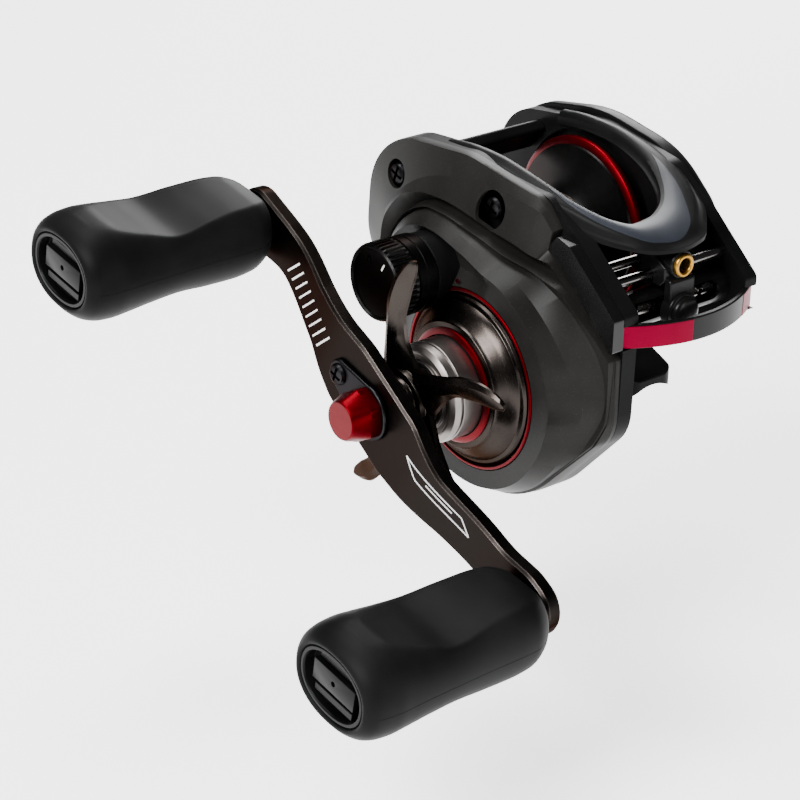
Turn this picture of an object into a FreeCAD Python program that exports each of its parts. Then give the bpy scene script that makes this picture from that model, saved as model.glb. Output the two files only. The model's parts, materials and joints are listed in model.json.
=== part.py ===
import FreeCAD, Part
import math
import os
import Sketcher
from FreeCAD import Placement, Rotation, Vector

# Low-profile baitcasting reel, right-hand crank.
# Frame of the part: origin on the rod's axis, under the middle of the reel foot.
# +X towards the palm side (the crank is at -X), +Y towards the angler, +Z up.
# Two axes run along X: the drive axis (crank, drag, main gear) and the spool axis
# (spool, pinion, cast control cap). A third one carries the level-wind worm.

doc = FreeCAD.newDocument("baitcasting_reel")
sheet = doc.addObject("Spreadsheet::Sheet", "Sizes")

SIZES = {
    # gears: one module for the whole gearbox, teeth of 25 degree pressure angle
    "gear_module": 0.55, "main_teeth": 70, "pinion_teeth": 13,
    "drive_teeth": 24, "idler_teeth": 36, "worm_teeth": 14,
    # drive axis, and how far the spool axis stands above it
    "drive_y": -8.5, "drive_z": 8.5, "spool_rise": 18.6,
    # level-wind worm axis: direction from the drive axis, in degrees from +Y
    "worm_angle": 142.4,
    # frame: plates, foot and the tub under the spool
    "plate_out": -17.0, "plate_in": -13.6, "palm_in": 14.0, "palm_out": 17.0,
    "rod_radius": 8.5, "foot_half": 7.2, "foot_half_length": 31.0, "seat_half_length": 22.0,
    "tub_inner": 18.7, "tub_outer": 20.7, "saddle_inner": 16.9, "palm_opening": 18.9,
    # gear cover
    "cover_step": -22.6, "cover_face": -27.0, "drum_radius": 24.6, "cavity_radius": 20.5,
    # spool
    "flange_radius": 17.8, "flange_edge": 13.0, "spool_shaft_radius": 1.5, "arbor_radius": 6.4,
    # drag side: rings, dish and the housing of the one-way bearing
    "ring_radius": 17.9, "small_ring_radius": 11.2, "housing_radius": 10.0, "housing_end": -39.0,
    "drive_shaft_radius": 2.5, "sleeve_radius": 4.0,
    # crank
    "arm_face": -51.0, "arm_thick": 3.0, "knob_reach": 48.2, "knob_rise": 30.0,
    "knob_inner": -47.4, "knob_end": -91.7, "nut_end": -58.0, "spindle_radius": 2.0,
    # star drag and cast control cap
    "star_tip_radius": 28.0, "star_arms": 5, "cap_radius": 7.74, "cap_face": -40.2,
    "cap_back": -30.2,
    # level wind
    "worm_radius": 2.1, "tube_outer": 3.5, "tube_inner": 2.7, "carriage_x": -1.0,
    "upper_bar_radius": 0.75, "lower_bar_radius": 0.95, "eyelet_radius": 2.33,
    # clearances: running fits, gaps between bodies, bearings
    "running": 0.05, "gap": 0.3,
}
for line_number, (alias, size) in enumerate(SIZES.items(), start=1):
    sheet.set(f"A{line_number}", alias)
    sheet.set(f"B{line_number}", str(size))
    sheet.setAlias(f"B{line_number}", alias)
doc.recompute()

MODULE = SIZES["gear_module"]
MESH = MODULE * (SIZES["main_teeth"] + SIZES["pinion_teeth"]) / 2
RISE = SIZES["spool_rise"]
DRIVE = (SIZES["drive_y"], SIZES["drive_z"])
SPOOL = (DRIVE[0] + math.sqrt(MESH ** 2 - RISE ** 2), DRIVE[1] + RISE)


def polar(centre, radius, degrees):
    """Point (y, z) at a radius and an angle from +Y towards +Z."""
    angle = math.radians(degrees)
    return (centre[0] + radius * math.cos(angle), centre[1] + radius * math.sin(angle))


WORM_ANGLE = SIZES["worm_angle"]
DRIVE_TO_IDLER = MODULE * (SIZES["drive_teeth"] + SIZES["idler_teeth"]) / 2
IDLER_TO_WORM = MODULE * (SIZES["idler_teeth"] + SIZES["worm_teeth"]) / 2
IDLER = polar(DRIVE, DRIVE_TO_IDLER, WORM_ANGLE)
WORM = polar(DRIVE, DRIVE_TO_IDLER + IDLER_TO_WORM, WORM_ANGLE)
MESH_ANGLE = math.degrees(math.atan2(RISE, SPOOL[0] - DRIVE[0]))
CARRIAGE_X = SIZES["carriage_x"]
UPPER_BAR = (-29.2, 35.1)
LOWER_BAR = (-32.6, 33.3)
EYELET_Z = 36.0
COVER_SCREWS = [(23.0, 39.0), (-5.9, 41.3), (25.0, 21.0)]
PARTS = {}


# ---------------------------------------------------------------- sizes in formulas

def terms(size):
    """A size is a number, or text such as "flange_radius - 0.3": names and numbers, + and -."""
    words = str(size).split()
    signs = [1.0] + [1.0 if word == "+" else -1.0 for word in words[1::2]]
    return list(zip(signs, words[0::2]))


def value(size):
    total = 0.0
    for sign, word in terms(size):
        total += sign * (SIZES[word] if word in SIZES else float(word))
    return total


def formula(size):
    text = ""
    for sign, word in terms(size):
        name = f"Sizes.{word}" if word in SIZES else word
        text += f" {'+' if sign > 0 else '-'} ({name})"
    return "0" + text


# ---------------------------------------------------------------- ways of making a piece

def keep(label, thing, shape=None):
    """Registers a finished sub-part; a bare shape becomes a Part::Feature."""
    if shape is not None:
        thing = doc.addObject("Part::Feature", label)
        thing.Shape = shape
    thing.Label = label
    PARTS[label] = thing
    return thing


def origin_plane(body, role):
    return next(plane for plane in body.Origin.OriginFeatures if plane.Role == role)


def sketch_on(body, role, name):
    sketch = body.newObject("Sketcher::SketchObject", name)
    sketch.AttachmentSupport = [(origin_plane(body, role), "")]
    sketch.MapMode = "FlatFace"
    return sketch


def turned(label, profile, centre):
    """A PartDesign body turned about the X axis at (y, z); profile corners are (x, radius)."""
    body = doc.addObject("PartDesign::Body", label)
    sketch = sketch_on(body, "XY_Plane", label + "_profile")
    corners = [Vector(value(x), value(radius), 0) for x, radius in profile]
    for start, end in zip(corners, corners[1:] + corners[:1]):
        sketch.addGeometry(Part.LineSegment(start, end), False)
    count = len(corners)
    for index in range(count):
        sketch.addConstraint(Sketcher.Constraint("Coincident", index, 2, (index + 1) % count, 1))
    for index, (x, radius) in enumerate(profile):
        for kind, size in (("DistanceX", x), ("DistanceY", radius)):
            number = sketch.addConstraint(
                Sketcher.Constraint(kind, -1, 1, index, 1, value(size)))
            if any(word in SIZES for _, word in terms(size)):
                sketch.setExpression(f"Constraints[{number}]", formula(size))
    doc.recompute()
    turn = body.newObject("PartDesign::Revolution", label + "_turn")
    turn.Profile = sketch
    turn.ReferenceAxis = (sketch, ["H_Axis"])
    turn.Angle = 360.0
    body.Tip = turn
    body.Placement = Placement(Vector(0, centre[0], centre[1]), Rotation())
    doc.recompute()
    keep(label, body)
    return body


def washer(label, inner, outer, x_from, x_to, centre):
    return turned(label, [(x_from, inner), (x_to, inner), (x_to, outer), (x_from, outer)], centre)


def rod(radius, x_from, x_to, centre):
    """Round bar along X as a bare shape."""
    base = Vector(x_from, centre[0], centre[1])
    return Part.makeCylinder(radius, x_to - x_from, base, Vector(1, 0, 0))


def tube(inner, outer, x_from, x_to, centre):
    return rod(outer, x_from, x_to, centre).cut(rod(inner, x_from - 1, x_to + 1, centre))


def block(x_from, x_to, y_from, y_to, z_from, z_to):
    return Part.makeBox(x_to - x_from, y_to - y_from, z_to - z_from, Vector(x_from, y_from, z_from))


def rounded_wire(corners):
    """Closed outline through (point, radius) corners, each rounded by a tangent arc."""
    count = len(corners)
    starts, ends, edges = [], [], []
    for index, (corner, radius) in enumerate(corners):
        before = (corners[index - 1][0] - corner).normalize()
        after = (corners[(index + 1) % count][0] - corner).normalize()
        half = before.getAngle(after) / 2
        reach = radius / math.tan(half)
        start = corner + before * reach
        end = corner + after * reach
        starts.append(start)
        ends.append(end)
        if radius > 0:
            bisector = (before + after).normalize()
            middle = corner + bisector * (radius / math.sin(half) - radius)
            edges.append(Part.Arc(start, middle, end).toShape())
        else:
            edges.append(None)
    loop = []
    for index in range(count):
        if edges[index] is not None:
            loop.append(edges[index])
        following = starts[(index + 1) % count]
        if ends[index].distanceToPoint(following) > 1e-6:
            loop.append(Part.LineSegment(ends[index], following).toShape())
    return Part.Wire(Part.__sortEdges__(loop))


def outline_x(points, x=0.0):
    """Outline in the YZ plane from (y, z, corner radius) points."""
    return rounded_wire([(Vector(x, y, z), radius) for y, z, radius in points])


def slab_x(points, x_from, x_to):
    return Part.Face(outline_x(points, x_from)).extrude(Vector(x_to - x_from, 0, 0))


def slab_z(points, z_from, z_to):
    """Slab from an outline in the XY plane of (x, y, corner radius) points."""
    wire = rounded_wire([(Vector(x, y, z_from), radius) for x, y, radius in points])
    return Part.Face(wire).extrude(Vector(0, 0, z_to - z_from))


def sector(centre, radius, start, end, x_from, x_to):
    """Pie slice of a disc, from one angle to another, used to keep part of a ring."""
    steps = 12
    rim = [polar(centre, radius * 1.4, start + (end - start) * step / steps)
           for step in range(steps + 1)]
    points = [Vector(x_from, y, z) for y, z in [centre] + rim + [centre]]
    return Part.Face(Part.makePolygon(points)).extrude(Vector(x_to - x_from, 0, 0))


def gear(teeth, x_from, x_to, centre, phase, bore, backlash=0.05):
    """Spur gear with involute flanks; phase is the angle of one tooth's centre."""
    pressure = math.radians(25)
    pitch = MODULE * teeth / 2
    base = pitch * math.cos(pressure)
    tip = pitch + 0.9 * MODULE
    root = pitch - 1.15 * MODULE
    involute = math.tan(pressure) - pressure
    half_tooth = math.pi / (2 * teeth) - backlash / (2 * pitch) + involute

    def flank(radius):
        roll = math.sqrt(max((radius / base) ** 2 - 1, 0.0))
        return half_tooth - (roll - math.atan(roll))

    radii = [max(base, root) + (tip - max(base, root)) * step / 3 for step in range(4)]
    points = []
    for tooth in range(teeth):
        middle = math.radians(phase) + 2 * math.pi * tooth / teeth
        side = [(root, flank(radii[0]))] + [(radius, flank(radius)) for radius in radii]
        for radius, angle in [(r, -a) for r, a in side] + [(r, a) for r, a in reversed(side)]:
            turn = middle + angle
            points.append(Vector(x_from, centre[0] + radius * math.cos(turn),
                                 centre[1] + radius * math.sin(turn)))
    blank = Part.Face(Part.makePolygon(points + points[:1])).extrude(Vector(x_to - x_from, 0, 0))
    return blank.cut(rod(bore, x_from - 1, x_to + 1, centre))


def plate_outline(front):
    """Side outline of the reel, closed at the front by the given points."""
    drum = SIZES["drum_radius"]
    body = [(-39.6, 6.1, 10), (-19.5, -16.1, drum), (4.2, -16.1, drum), (32.8, 23.2, 12),
            (31.4, 45.9, 15), (3.0, 48.9, 20), (-17.5, 46.4, 6)]
    return body + front


FRAME_FRONT = [(-27.0, 40.5, 2), (-39.8, 30.2, 1.5), (-39.8, 22.0, 1.5)]
COVER_FRONT = [(-22.5, 41.2, 1), (-20.5, 38.2, 1), (-36.5, 24.5, 2), (-39.5, 21.6, 1)]
PALM_REAR = [(-6.0, 6.0, 10), (16.0, 6.0, 12), (32.0, 18.0, 10), (33.5, 30.0, 10),
             (29.5, 44.4, 12), (3.0, 48.9, 20)]
# the palm plate reaches forward to the worm, its cover ends before that arm
PALM_OUTLINE = [(-37.5, 23.0, 1.5), (-22.5, 14.5, 8)] + PALM_REAR + [
    (-17.5, 46.4, 6), (-27.0, 40.5, 2), (-39.8, 30.2, 1.5), (-39.8, 23.0, 1)]
PALM_COVER_OUTLINE = [(-24.0, 17.0, 6)] + PALM_REAR + [
    (-14.0, 46.9, 10), (-25.5, 38.0, 8), (-27.0, 24.0, 6)]
BAR_HEIGHT = (23.4, 28.2)
BAR_THICK = 1.2
INLAY_SPANS = [(-17.0, -3.4), (12.2, 17.0)]


# ---------------------------------------------------------------- frame and covers

def make_frame():
    out, inner = SIZES["plate_out"], SIZES["plate_in"]
    palm_in, palm_out = SIZES["palm_in"], SIZES["palm_out"]
    plate = slab_x(plate_outline(FRAME_FRONT), out, inner)
    plate = plate.cut(rod(5.0, out - 1, inner + 1, SPOOL))
    plate = plate.cut(rod(4.0, out - 1, inner + 1, DRIVE))
    # pockets for the three gears that drive the worm
    for centre, radius in ((DRIVE, 7.5), (IDLER, 10.8), (WORM, 4.8)):
        plate = plate.cut(rod(radius, out - 1, -15.1, centre))
    ring = slab_x(PALM_OUTLINE, palm_in, palm_out)
    ring = ring.cut(rod(SIZES["palm_opening"], palm_in - 1, palm_out + 1, SPOOL))
    start, end = 220, 365
    left, right = inner - 0.5, palm_in + 0.5
    tub = tube(SIZES["tub_inner"], SIZES["tub_outer"], left, right, SPOOL)
    tub = tub.common(sector(SPOOL, 25, start, end, left, right))
    saddle = tube(SIZES["saddle_inner"], SIZES["tub_outer"], -9.5, 9.5, SPOOL)
    saddle = saddle.common(sector(SPOOL, 25, 232, 308, -9.5, 9.5))
    half, length, seat = SIZES["foot_half"], SIZES["foot_half_length"], SIZES["seat_half_length"]
    plan = [(half, -seat, 3), (5.6, -length, 3), (-5.6, -length, 3), (-half, -seat, 3),
            (-half, seat, 3), (-5.6, length, 3), (5.6, length, 3), (half, seat, 3)]
    side = [(-length, 7.4, 0), (-seat, 3.0, 0), (seat, 3.0, 0), (length, 7.4, 0),
            (length, 10.3, 0.8), (17, 13.4, 6), (-12, 13.8, 6), (-17, 13.0, 3), (-length, 10.3, 0.8)]
    foot = slab_z(plan, 0, 16).common(slab_x(side, -half - 1, half + 1))
    # the reel foot meets the tub; nothing of it stands inside the spool's space
    foot = foot.cut(rod(SIZES["saddle_inner"] + 0.5, -10, 10, SPOOL))
    body = plate.fuse([ring, tub, saddle, foot])
    seat_cut = Part.makeCylinder(SIZES["rod_radius"], 90, Vector(0, -45, 0), Vector(0, 1, 0))
    body = body.cut(seat_cut)
    low, high = BAR_HEIGHT
    body = body.cut(bar_piece(-17.0, 17.0, -3.0, BAR_THICK, low, high))
    body = body.cut(rod(4.0, out, inner, DRIVE)).cut(rod(1.5, out, -14.6, IDLER))
    # bearings of the worm in both plates
    for x_from, x_to in ((-15.2, inner + 1), (palm_in - 1, palm_out - 1)):
        body = body.cut(rod(SIZES["worm_radius"] + 0.05, x_from, x_to, WORM))
    return body.removeSplitter()


def make_cover():
    """Gear cover: a drum with a broad slanted edge, hollow over the gears."""
    step, face, root = SIZES["cover_step"], SIZES["cover_face"], SIZES["plate_out"]
    points = plate_outline(COVER_FRONT)
    flank = slab_x(points, step, root)
    rim = outline_x(points, step)
    middle = Vector(step, -2.0, 17.0)
    smaller = rim.copy()
    smaller.scale(0.87, middle)
    smaller.translate(Vector(face - step, 0, 0))
    crown = Part.makeLoft([rim, smaller], True, True)
    collar = rod(7.3, -30.0, step + 1, SPOOL)
    cover = flank.fuse([crown, collar])
    # the dish of the drag side is sunk into the outer face
    cover = cover.cut(rod(SIZES["ring_radius"] + 0.3, face - 1, face + 1.6, DRIVE))
    cover = cover.cut(rod(SIZES["cavity_radius"], -25.0, root + 1, DRIVE))
    cover = cover.cut(rod(9.0, -25.0, root + 1, SPOOL))
    cover = cover.cut(rod(11.2, -18.6, root + 1, IDLER))
    cover = cover.cut(rod(10.0, face - 5, root, DRIVE))
    # way for the spool shaft and seat of its outer bearing
    cover = cover.cut(rod(4.05, -33, -24, SPOOL))
    for y, z in COVER_SCREWS:
        cover = cover.cut(rod(2.6, face - 5, -21.5, (y, z)))
        cover = cover.cut(rod(1.3, -22, root + 1, (y, z)))
    return cover.removeSplitter()


def make_hood():
    """Hood over the front of the spool, ending in a beak above the line guide."""
    top = [(13.0, 47.2, 0), (3.0, 49.2, 25), (-17.5, 47.0, 25), (-38.4, 41.2, 1.0),
           (-38.4, 39.2, 0.8), (-17.0, 44.6, 25), (3.0, 46.6, 22), (13.0, 45.0, 0)]
    plan = [(-13.6, 14, 0), (-13.6, -20, 6), (-8.4, -36.0, 3), (-2.6, -38.6, 12), (3.6, -36.8, 4),
            (14.0, -27, 6), (14.0, 14, 0)]
    opening = [(-10.6, 30, 0), (-10.6, -6, 6), (-6.0, -22.0, 7), (6.5, -22.0, 7), (11.0, -6, 6),
               (11.0, 30, 0)]
    hood = slab_x(top, -13.6, 14.0).common(slab_z(plan, 30, 55))
    hood = hood.cut(slab_z(opening, 30, 55))
    return hood.removeSplitter()


def make_hood_panel(hood_shape):
    """Thin crescent plate let into the roof of the beak, in front of the opening."""
    top = [(-14.0, 55.0, 0), (-14.0, 47.2, 0), (-22.5, 45.0, 0), (-36.5, 41.1, 0), (-36.5, 55.0, 0)]
    plan = [(-9.2, -22.0, 1), (-6.4, -33.0, 4), (4.6, -32.0, 4), (9.8, -20.0, 1), (5.5, -24.2, 7),
            (-5.5, -24.6, 7)]
    return slab_x(top, -12, 13).common(slab_z(plan, 30, 55)).common(hood_shape)


def make_palm_cover():
    """Removable cover of the palm side: domed skin and the spigot in the frame's ring."""
    out = SIZES["palm_out"] + 0.15
    rim = outline_x(PALM_COVER_OUTLINE, out + 3.0)
    smaller = rim.copy()
    smaller.scale(0.8, Vector(out + 3.0, 0.0, 28.0))
    smaller.translate(Vector(3.4, 0, 0))
    skin = slab_x(PALM_COVER_OUTLINE, out, out + 3.0).fuse(Part.makeLoft([rim, smaller], True, True))
    spigot = tube(17.0, SIZES["palm_opening"] - 0.08, 14.8, out + 1, SPOOL)
    hollow = rod(17.0, 14.0, out + 2.4, SPOOL)
    cover = skin.cut(hollow).fuse(spigot)
    cover = cover.cut(rod(2.2, 14, out + 5, SPOOL))
    # the round seat of the brake dial
    return cover.cut(rod(10.6, out + 4.5, out + 8, SPOOL)).removeSplitter()


def make_pillar_trim():
    """Slanted glossy plate over the worm gear, on the front arm of the frame."""
    points = [(-23.2, 41.2, 0.5), (-26.9, 40.2, 1.5), (-39.7, 30.0, 1.2), (-39.7, 22.4, 0.6),
              (-37.4, 24.7, 0.5), (-21.3, 38.5, 0.5)]
    return slab_x(points, -19.6, -17.0)


def front_bar_path(x, inset=0.0):
    """The front bar bows forward between the two front arms."""
    bow = 5.6 * (1 - (x / 17.0) ** 2)
    return -38.6 - bow + inset


def bar_piece(x_from, x_to, front, back, low, high):
    """Length of the bowed bar between two distances from its front face."""
    steps = 8
    stations = [x_from + (x_to - x_from) * step / steps for step in range(steps + 1)]
    near = [Vector(x, front_bar_path(x, front), low) for x in stations]
    far = [Vector(x, front_bar_path(x, back), low) for x in reversed(stations)]
    face = Part.Face(Part.makePolygon(near + far + near[:1]))
    return face.extrude(Vector(0, 0, high - low))


def make_front_bar():
    low, high = BAR_HEIGHT
    bar = bar_piece(-17.0, 17.0, 0.0, BAR_THICK, low, high)
    pockets = [bar_piece(x_from, x_to, -1.0, 0.5, low + 0.3, high - 0.3).common(bar)
               for x_from, x_to in INLAY_SPANS]
    for pocket in pockets:
        bar = bar.cut(pocket)
    return bar, Part.makeCompound(pockets)


def cross_screw(x_head, x_tip, centre, head, shank):
    """Pan-head screw along X with a cross recess, head at the -X end."""
    screw = rod(head, x_head, x_head + 1.2, centre).fuse(rod(shank, x_head, x_tip, centre))
    y, z = centre
    depth = 0.7
    for half_y, half_z in ((0.22, head * 0.6), (head * 0.6, 0.22)):
        slot = block(x_head - 1, x_head + depth, y - half_y, y + half_y, z - half_z, z + half_z)
        screw = screw.cut(slot)
    return screw


frame = keep("frame", None, make_frame())
keep("gear_cover", None, make_cover())
hood = make_hood()
hood_panel = make_hood_panel(hood)
keep("hood", None, hood.cut(hood_panel))
keep("hood_panel", None, hood_panel)
keep("pillar_trim", None, make_pillar_trim())
front_bar, bar_inlays = make_front_bar()
keep("front_bar", None, front_bar)
keep("bar_inlays", None, bar_inlays)
keep("palm_cover", None, make_palm_cover())
keep("cover_screws", None, Part.makeCompound(
    [cross_screw(-22.7, -17.2, centre, 2.3, 1.2) for centre in COVER_SCREWS]))

# ---------------------------------------------------------------- drag side, fixed pieces

turned("outer_ring", [("cover_face + 1.5", "ring_radius - 0.9"), ("cover_face + 1.5", "ring_radius + 0.2"),
                      ("cover_face - 0.15", "ring_radius + 0.2"),
                      ("cover_face - 0.15", "ring_radius - 0.5")], DRIVE)
turned("drag_dish", [(-25.4, 10.1), (-25.4, "ring_radius - 1.0"), (-27.0, "ring_radius - 1.0"),
                     (-27.6, 16.2), (-29.6, 14.2), (-30.6, 12.6), (-31.2, 12.4), (-31.2, 10.1)],
       DRIVE)
turned("inner_ring", [(-31.9, 10.1), (-31.2, 10.1), (-31.2, 11.4), (-31.6, 11.4)], DRIVE)
turned("clutch_housing", [(-24.9, 6.2), (-24.9, 9.9), (-36.4, "housing_radius - 0.1"),
                          (-36.4, 9.5), (-36.9, 9.5), (-36.9, "housing_radius - 0.1"),
                          (-38.3, 9.6), ("housing_end", 8.4), ("housing_end", 4.6),
                          (-37.6, 4.6), (-37.6, 6.2)], DRIVE)
washer("clutch_shell", 5.3, 6.2, -37.5, -26.0, DRIVE)
ROLLERS = 10
ROLLER_RADIUS = 0.6
keep("clutch_rollers", None, Part.makeCompound(
    [rod(ROLLER_RADIUS, -36.8, -27.0, polar(DRIVE, 4.66, 360 * turn / ROLLERS))
     for turn in range(ROLLERS)]))
washer("shaft_bearing", "drive_shaft_radius + running", 3.95, -15.1, -13.8, DRIVE)
turned("index_dot", [(-27.2, 0), (-27.0, 0), (-27.0, 0.45), (-27.2, 0.45)],
       (SPOOL[0] - 9.0, SPOOL[1] + 0.4))

# ---------------------------------------------------------------- level wind, fixed pieces

for bar, spot in (("upper_bar", UPPER_BAR), ("lower_bar", LOWER_BAR)):
    turned(bar, [("plate_in", 0), ("palm_in", 0), ("palm_in", bar + "_radius"),
                 ("plate_in", bar + "_radius")], spot)
SLOT = (-11.4, 11.2)


def make_worm_tube():
    shell = tube(SIZES["tube_inner"], SIZES["tube_outer"], SIZES["plate_in"],
                 SIZES["palm_in"], WORM)
    window = block(SLOT[0], SLOT[1], WORM[0] - 6, WORM[0], WORM[1] - 1.7, WORM[1] + 1.7)
    return shell.cut(window)


keep("worm_tube", None, make_worm_tube())
washer("spool_bearing_frame", 3.45, 4.95, -16.4, -13.9, SPOOL)
washer("spool_bearing_cover", "spool_shaft_radius + running", 4.0, -29.6, -27.2, SPOOL)
YOKE_POINTS = [(-7.0, -2.0, 1), (-7.0, 2.4, 1), (-3.8, 4.6, 2), (3.8, 4.6, 2), (7.0, 2.4, 1),
               (7.0, -2.0, 1)]


def make_yoke():
    points = [(SPOOL[0] + y, SPOOL[1] + z, radius) for y, z, radius in YOKE_POINTS]
    yoke = slab_x(points, -24.2, -23.5)
    slot = block(-25, -23, SPOOL[0] - 2.7, SPOOL[0] + 2.7, SPOOL[1] - 3, SPOOL[1])
    return yoke.cut(slot).cut(rod(2.7, -25, -23, SPOOL))


keep("clutch_yoke", None, make_yoke())

# ---------------------------------------------------------------- crank: shaft, gears, drag

turned("drive_shaft", [("plate_in - 0.3", 0), ("plate_in - 0.3", "drive_shaft_radius"),
                       (-53.5, "drive_shaft_radius"), (-57.0, 2.0), (-57.0, 0)], DRIVE)
MAIN_FACE = (-22.9, -19.3)
main = gear(SIZES["main_teeth"], MAIN_FACE[0], MAIN_FACE[1], DRIVE, MESH_ANGLE, 3.0)
main = main.cut(rod(16.2, MAIN_FACE[0] - 1, MAIN_FACE[0] + 2.4, DRIVE))
keep("main_gear", None, main)
keep("level_drive_gear", None, gear(SIZES["drive_teeth"], -16.9, -15.4, DRIVE, WORM_ANGLE, 4.05))
washer("drive_collar", "drive_shaft_radius", 4.05, -19.3, -15.4, DRIVE)
keep("drag_washers", None, Part.makeCompound(
    [tube(3.1, 15.8, x, x + 0.5, DRIVE) for x in (-21.1, -22.1, -23.1)]))
keep("drag_plates", None, Part.makeCompound(
    [tube(3.1, 15.6, x, x + 0.45, DRIVE) for x in (-21.58, -22.58, -23.58)]))
washer("drag_hub", "drive_shaft_radius", 2.98, -24.6, -19.4, DRIVE)
washer("clutch_sleeve", "drive_shaft_radius", "sleeve_radius", -38.9, -24.7, DRIVE)
washer("spring_washers", "drive_shaft_radius + 0.1", 5.6, -47.7, -45.4, DRIVE)

CRANK_ANGLE = SIZES["knob_rise"]


def crank_point(along, across):
    """Point of the crank, along it from the drive axis and across it (up at the rear end)."""
    angle = math.radians(CRANK_ANGLE)
    y = DRIVE[0] + along * math.cos(angle) - across * math.sin(angle)
    z = DRIVE[1] + along * math.sin(angle) + across * math.cos(angle)
    return (y, z)


def make_arm():
    """Swept crank: an S outline, both ends bent in towards the reel."""
    half_plan = [(10.0, -8.2, 8), (20.0, -4.2, 12), (37.0, -3.2, 14), (45.0, -5.8, 9),
                 (53.6, -6.0, 5.4), (53.6, 5.6, 5.4), (40.0, 6.8, 16), (25.0, 7.2, 14),
                 (8.0, 9.2, 12)]
    corners = half_plan + [(-along, -across, radius) for along, across, radius in half_plan]
    outline = [crank_point(along, across) + (radius,) for along, across, radius in corners]
    plan = slab_x(outline, -56, -36)
    out, thick = SIZES["arm_face"], SIZES["arm_thick"]
    bend_from, bend_to, drop = 16.0, 35.0, 4.0
    side = [(-60, drop), (-bend_to, drop), (-bend_from, 0), (bend_from, 0), (bend_to, drop), (60, drop)]
    front = [(along, out + shift) for along, shift in side]
    back = [(along, out + shift + thick) for along, shift in reversed(side)]
    ring = []
    for along, x in front + back:
        y, z = crank_point(along, -30)
        ring.append(Vector(x, y, z))
    across = crank_point(0, 30)
    start = crank_point(0, -30)
    direction = Vector(0, across[0] - start[0], across[1] - start[1])
    strip = Part.Face(Part.makePolygon(ring + ring[:1])).extrude(direction)
    arm = plan.common(strip)
    return arm.cut(rod(SIZES["drive_shaft_radius"], -60, -30, DRIVE))


arm_shape = make_arm()
KNOBS = {"rear": crank_point(SIZES["knob_reach"], 0), "front": crank_point(-SIZES["knob_reach"], 0)}
for spot in KNOBS.values():
    arm_shape = arm_shape.cut(rod(SIZES["spindle_radius"], -50, -36, spot))
keep("crank_arm", None, arm_shape.removeSplitter())

RETAINER_TIP = crank_point(9.6, 0.0)


def make_retainer():
    shape = rod(5.3, -51.9, -51.0, DRIVE).fuse(rod(2.7, -51.9, -51.0, RETAINER_TIP))
    side_points = [crank_point(0, 5.3), crank_point(9.6, 2.7), crank_point(9.6, -2.7),
                   crank_point(0, -5.3)]
    bridge = slab_x([(y, z, 0) for y, z in side_points], -51.9, -51.0)
    shape = shape.fuse(bridge)
    shape = shape.cut(rod(3.0, -53, -50, DRIVE)).cut(rod(1.1, -53, -50, RETAINER_TIP))
    return shape.removeSplitter()


keep("nut_retainer", None, make_retainer())
arm_with_hole = PARTS["crank_arm"].Shape.cut(rod(1.1, -52, -46, RETAINER_TIP))
PARTS["crank_arm"].Shape = arm_with_hole
keep("retainer_screw", None, cross_screw(-53.1, -48.5, RETAINER_TIP, 2.0, 1.05))


def make_nut():
    """Hexagon nut, its outer end turned down to a round face."""
    flats = 4.55
    corners = [polar(DRIVE, flats / math.cos(math.pi / 6), CRANK_ANGLE + 60 * k) for k in range(6)]
    base, end = -51.9, SIZES["nut_end"]
    prism = slab_x([(y, z, 0) for y, z in corners], end, base)
    profile = [Vector(base, 0, 0), Vector(base, 5.6, 0), Vector(-54.4, 5.3, 0),
               Vector(end, 3.76, 0), Vector(end, 0, 0)]
    cone = Part.Face(Part.makePolygon(profile + profile[:1]))
    cone = cone.revolve(Vector(0, 0, 0), Vector(1, 0, 0), 360)
    cone.translate(Vector(0, DRIVE[0], DRIVE[1]))
    nut = prism.common(cone).fuse(rod(2.95, base, -51.0, DRIVE))
    return nut.cut(rod(SIZES["drive_shaft_radius"], -57.1, -50, DRIVE))


keep("handle_nut", None, make_nut())
keep("knob_spindles", None, Part.makeCompound(
    [rod(SIZES["spindle_radius"], -85.0, -43.0, spot).fuse(rod(3.2, -44.0, -43.0, spot))
     .fuse(rod(3.0, -86.2, -85.0, spot)) for spot in KNOBS.values()]))

# ---------------------------------------------------------------- knobs

# Stations of the knob: distance along X, half widths along Y and Z.
KNOB_SHAPE = [(-47.4, 5.4, 5.0), (-49.5, 8.6, 6.6), (-53.0, 10.2, 7.5), (-57.0, 10.5, 7.6),
              (-70.5, 10.9, 6.8), (-78.0, 11.2, 7.9), (-85.0, 11.7, 9.8), (-89.0, 11.4, 9.2),
              (-91.7, 9.7, 7.4)]


def oval(x, half_y, half_z, centre, squareness=2.4):
    """Superellipse across the knob."""
    points = []
    for step in range(24):
        angle = 2 * math.pi * step / 24
        c, s = math.cos(angle), math.sin(angle)
        points.append(Vector(
            x, centre[0] + half_y * math.copysign(abs(c) ** (2 / squareness), c),
            centre[1] + half_z * math.copysign(abs(s) ** (2 / squareness), s)))
    curve = Part.BSplineCurve()
    curve.interpolate(points, PeriodicFlag=True)
    return Part.Wire(curve.toShape())


def make_knob(centre):
    grip = Part.makeLoft([oval(x, a, b, centre) for x, a, b in KNOB_SHAPE], True, False)
    seat = Part.makeLoft([oval(-92.5, 8.2, 5.6, centre), oval(-88.0, 8.2, 5.6, centre)], True, True)
    grip = grip.cut(seat)
    grip = grip.cut(rod(SIZES["spindle_radius"] + 0.05, -87, -40, centre))
    return grip.cut(rod(3.3, -89, -84.7, centre))


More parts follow.
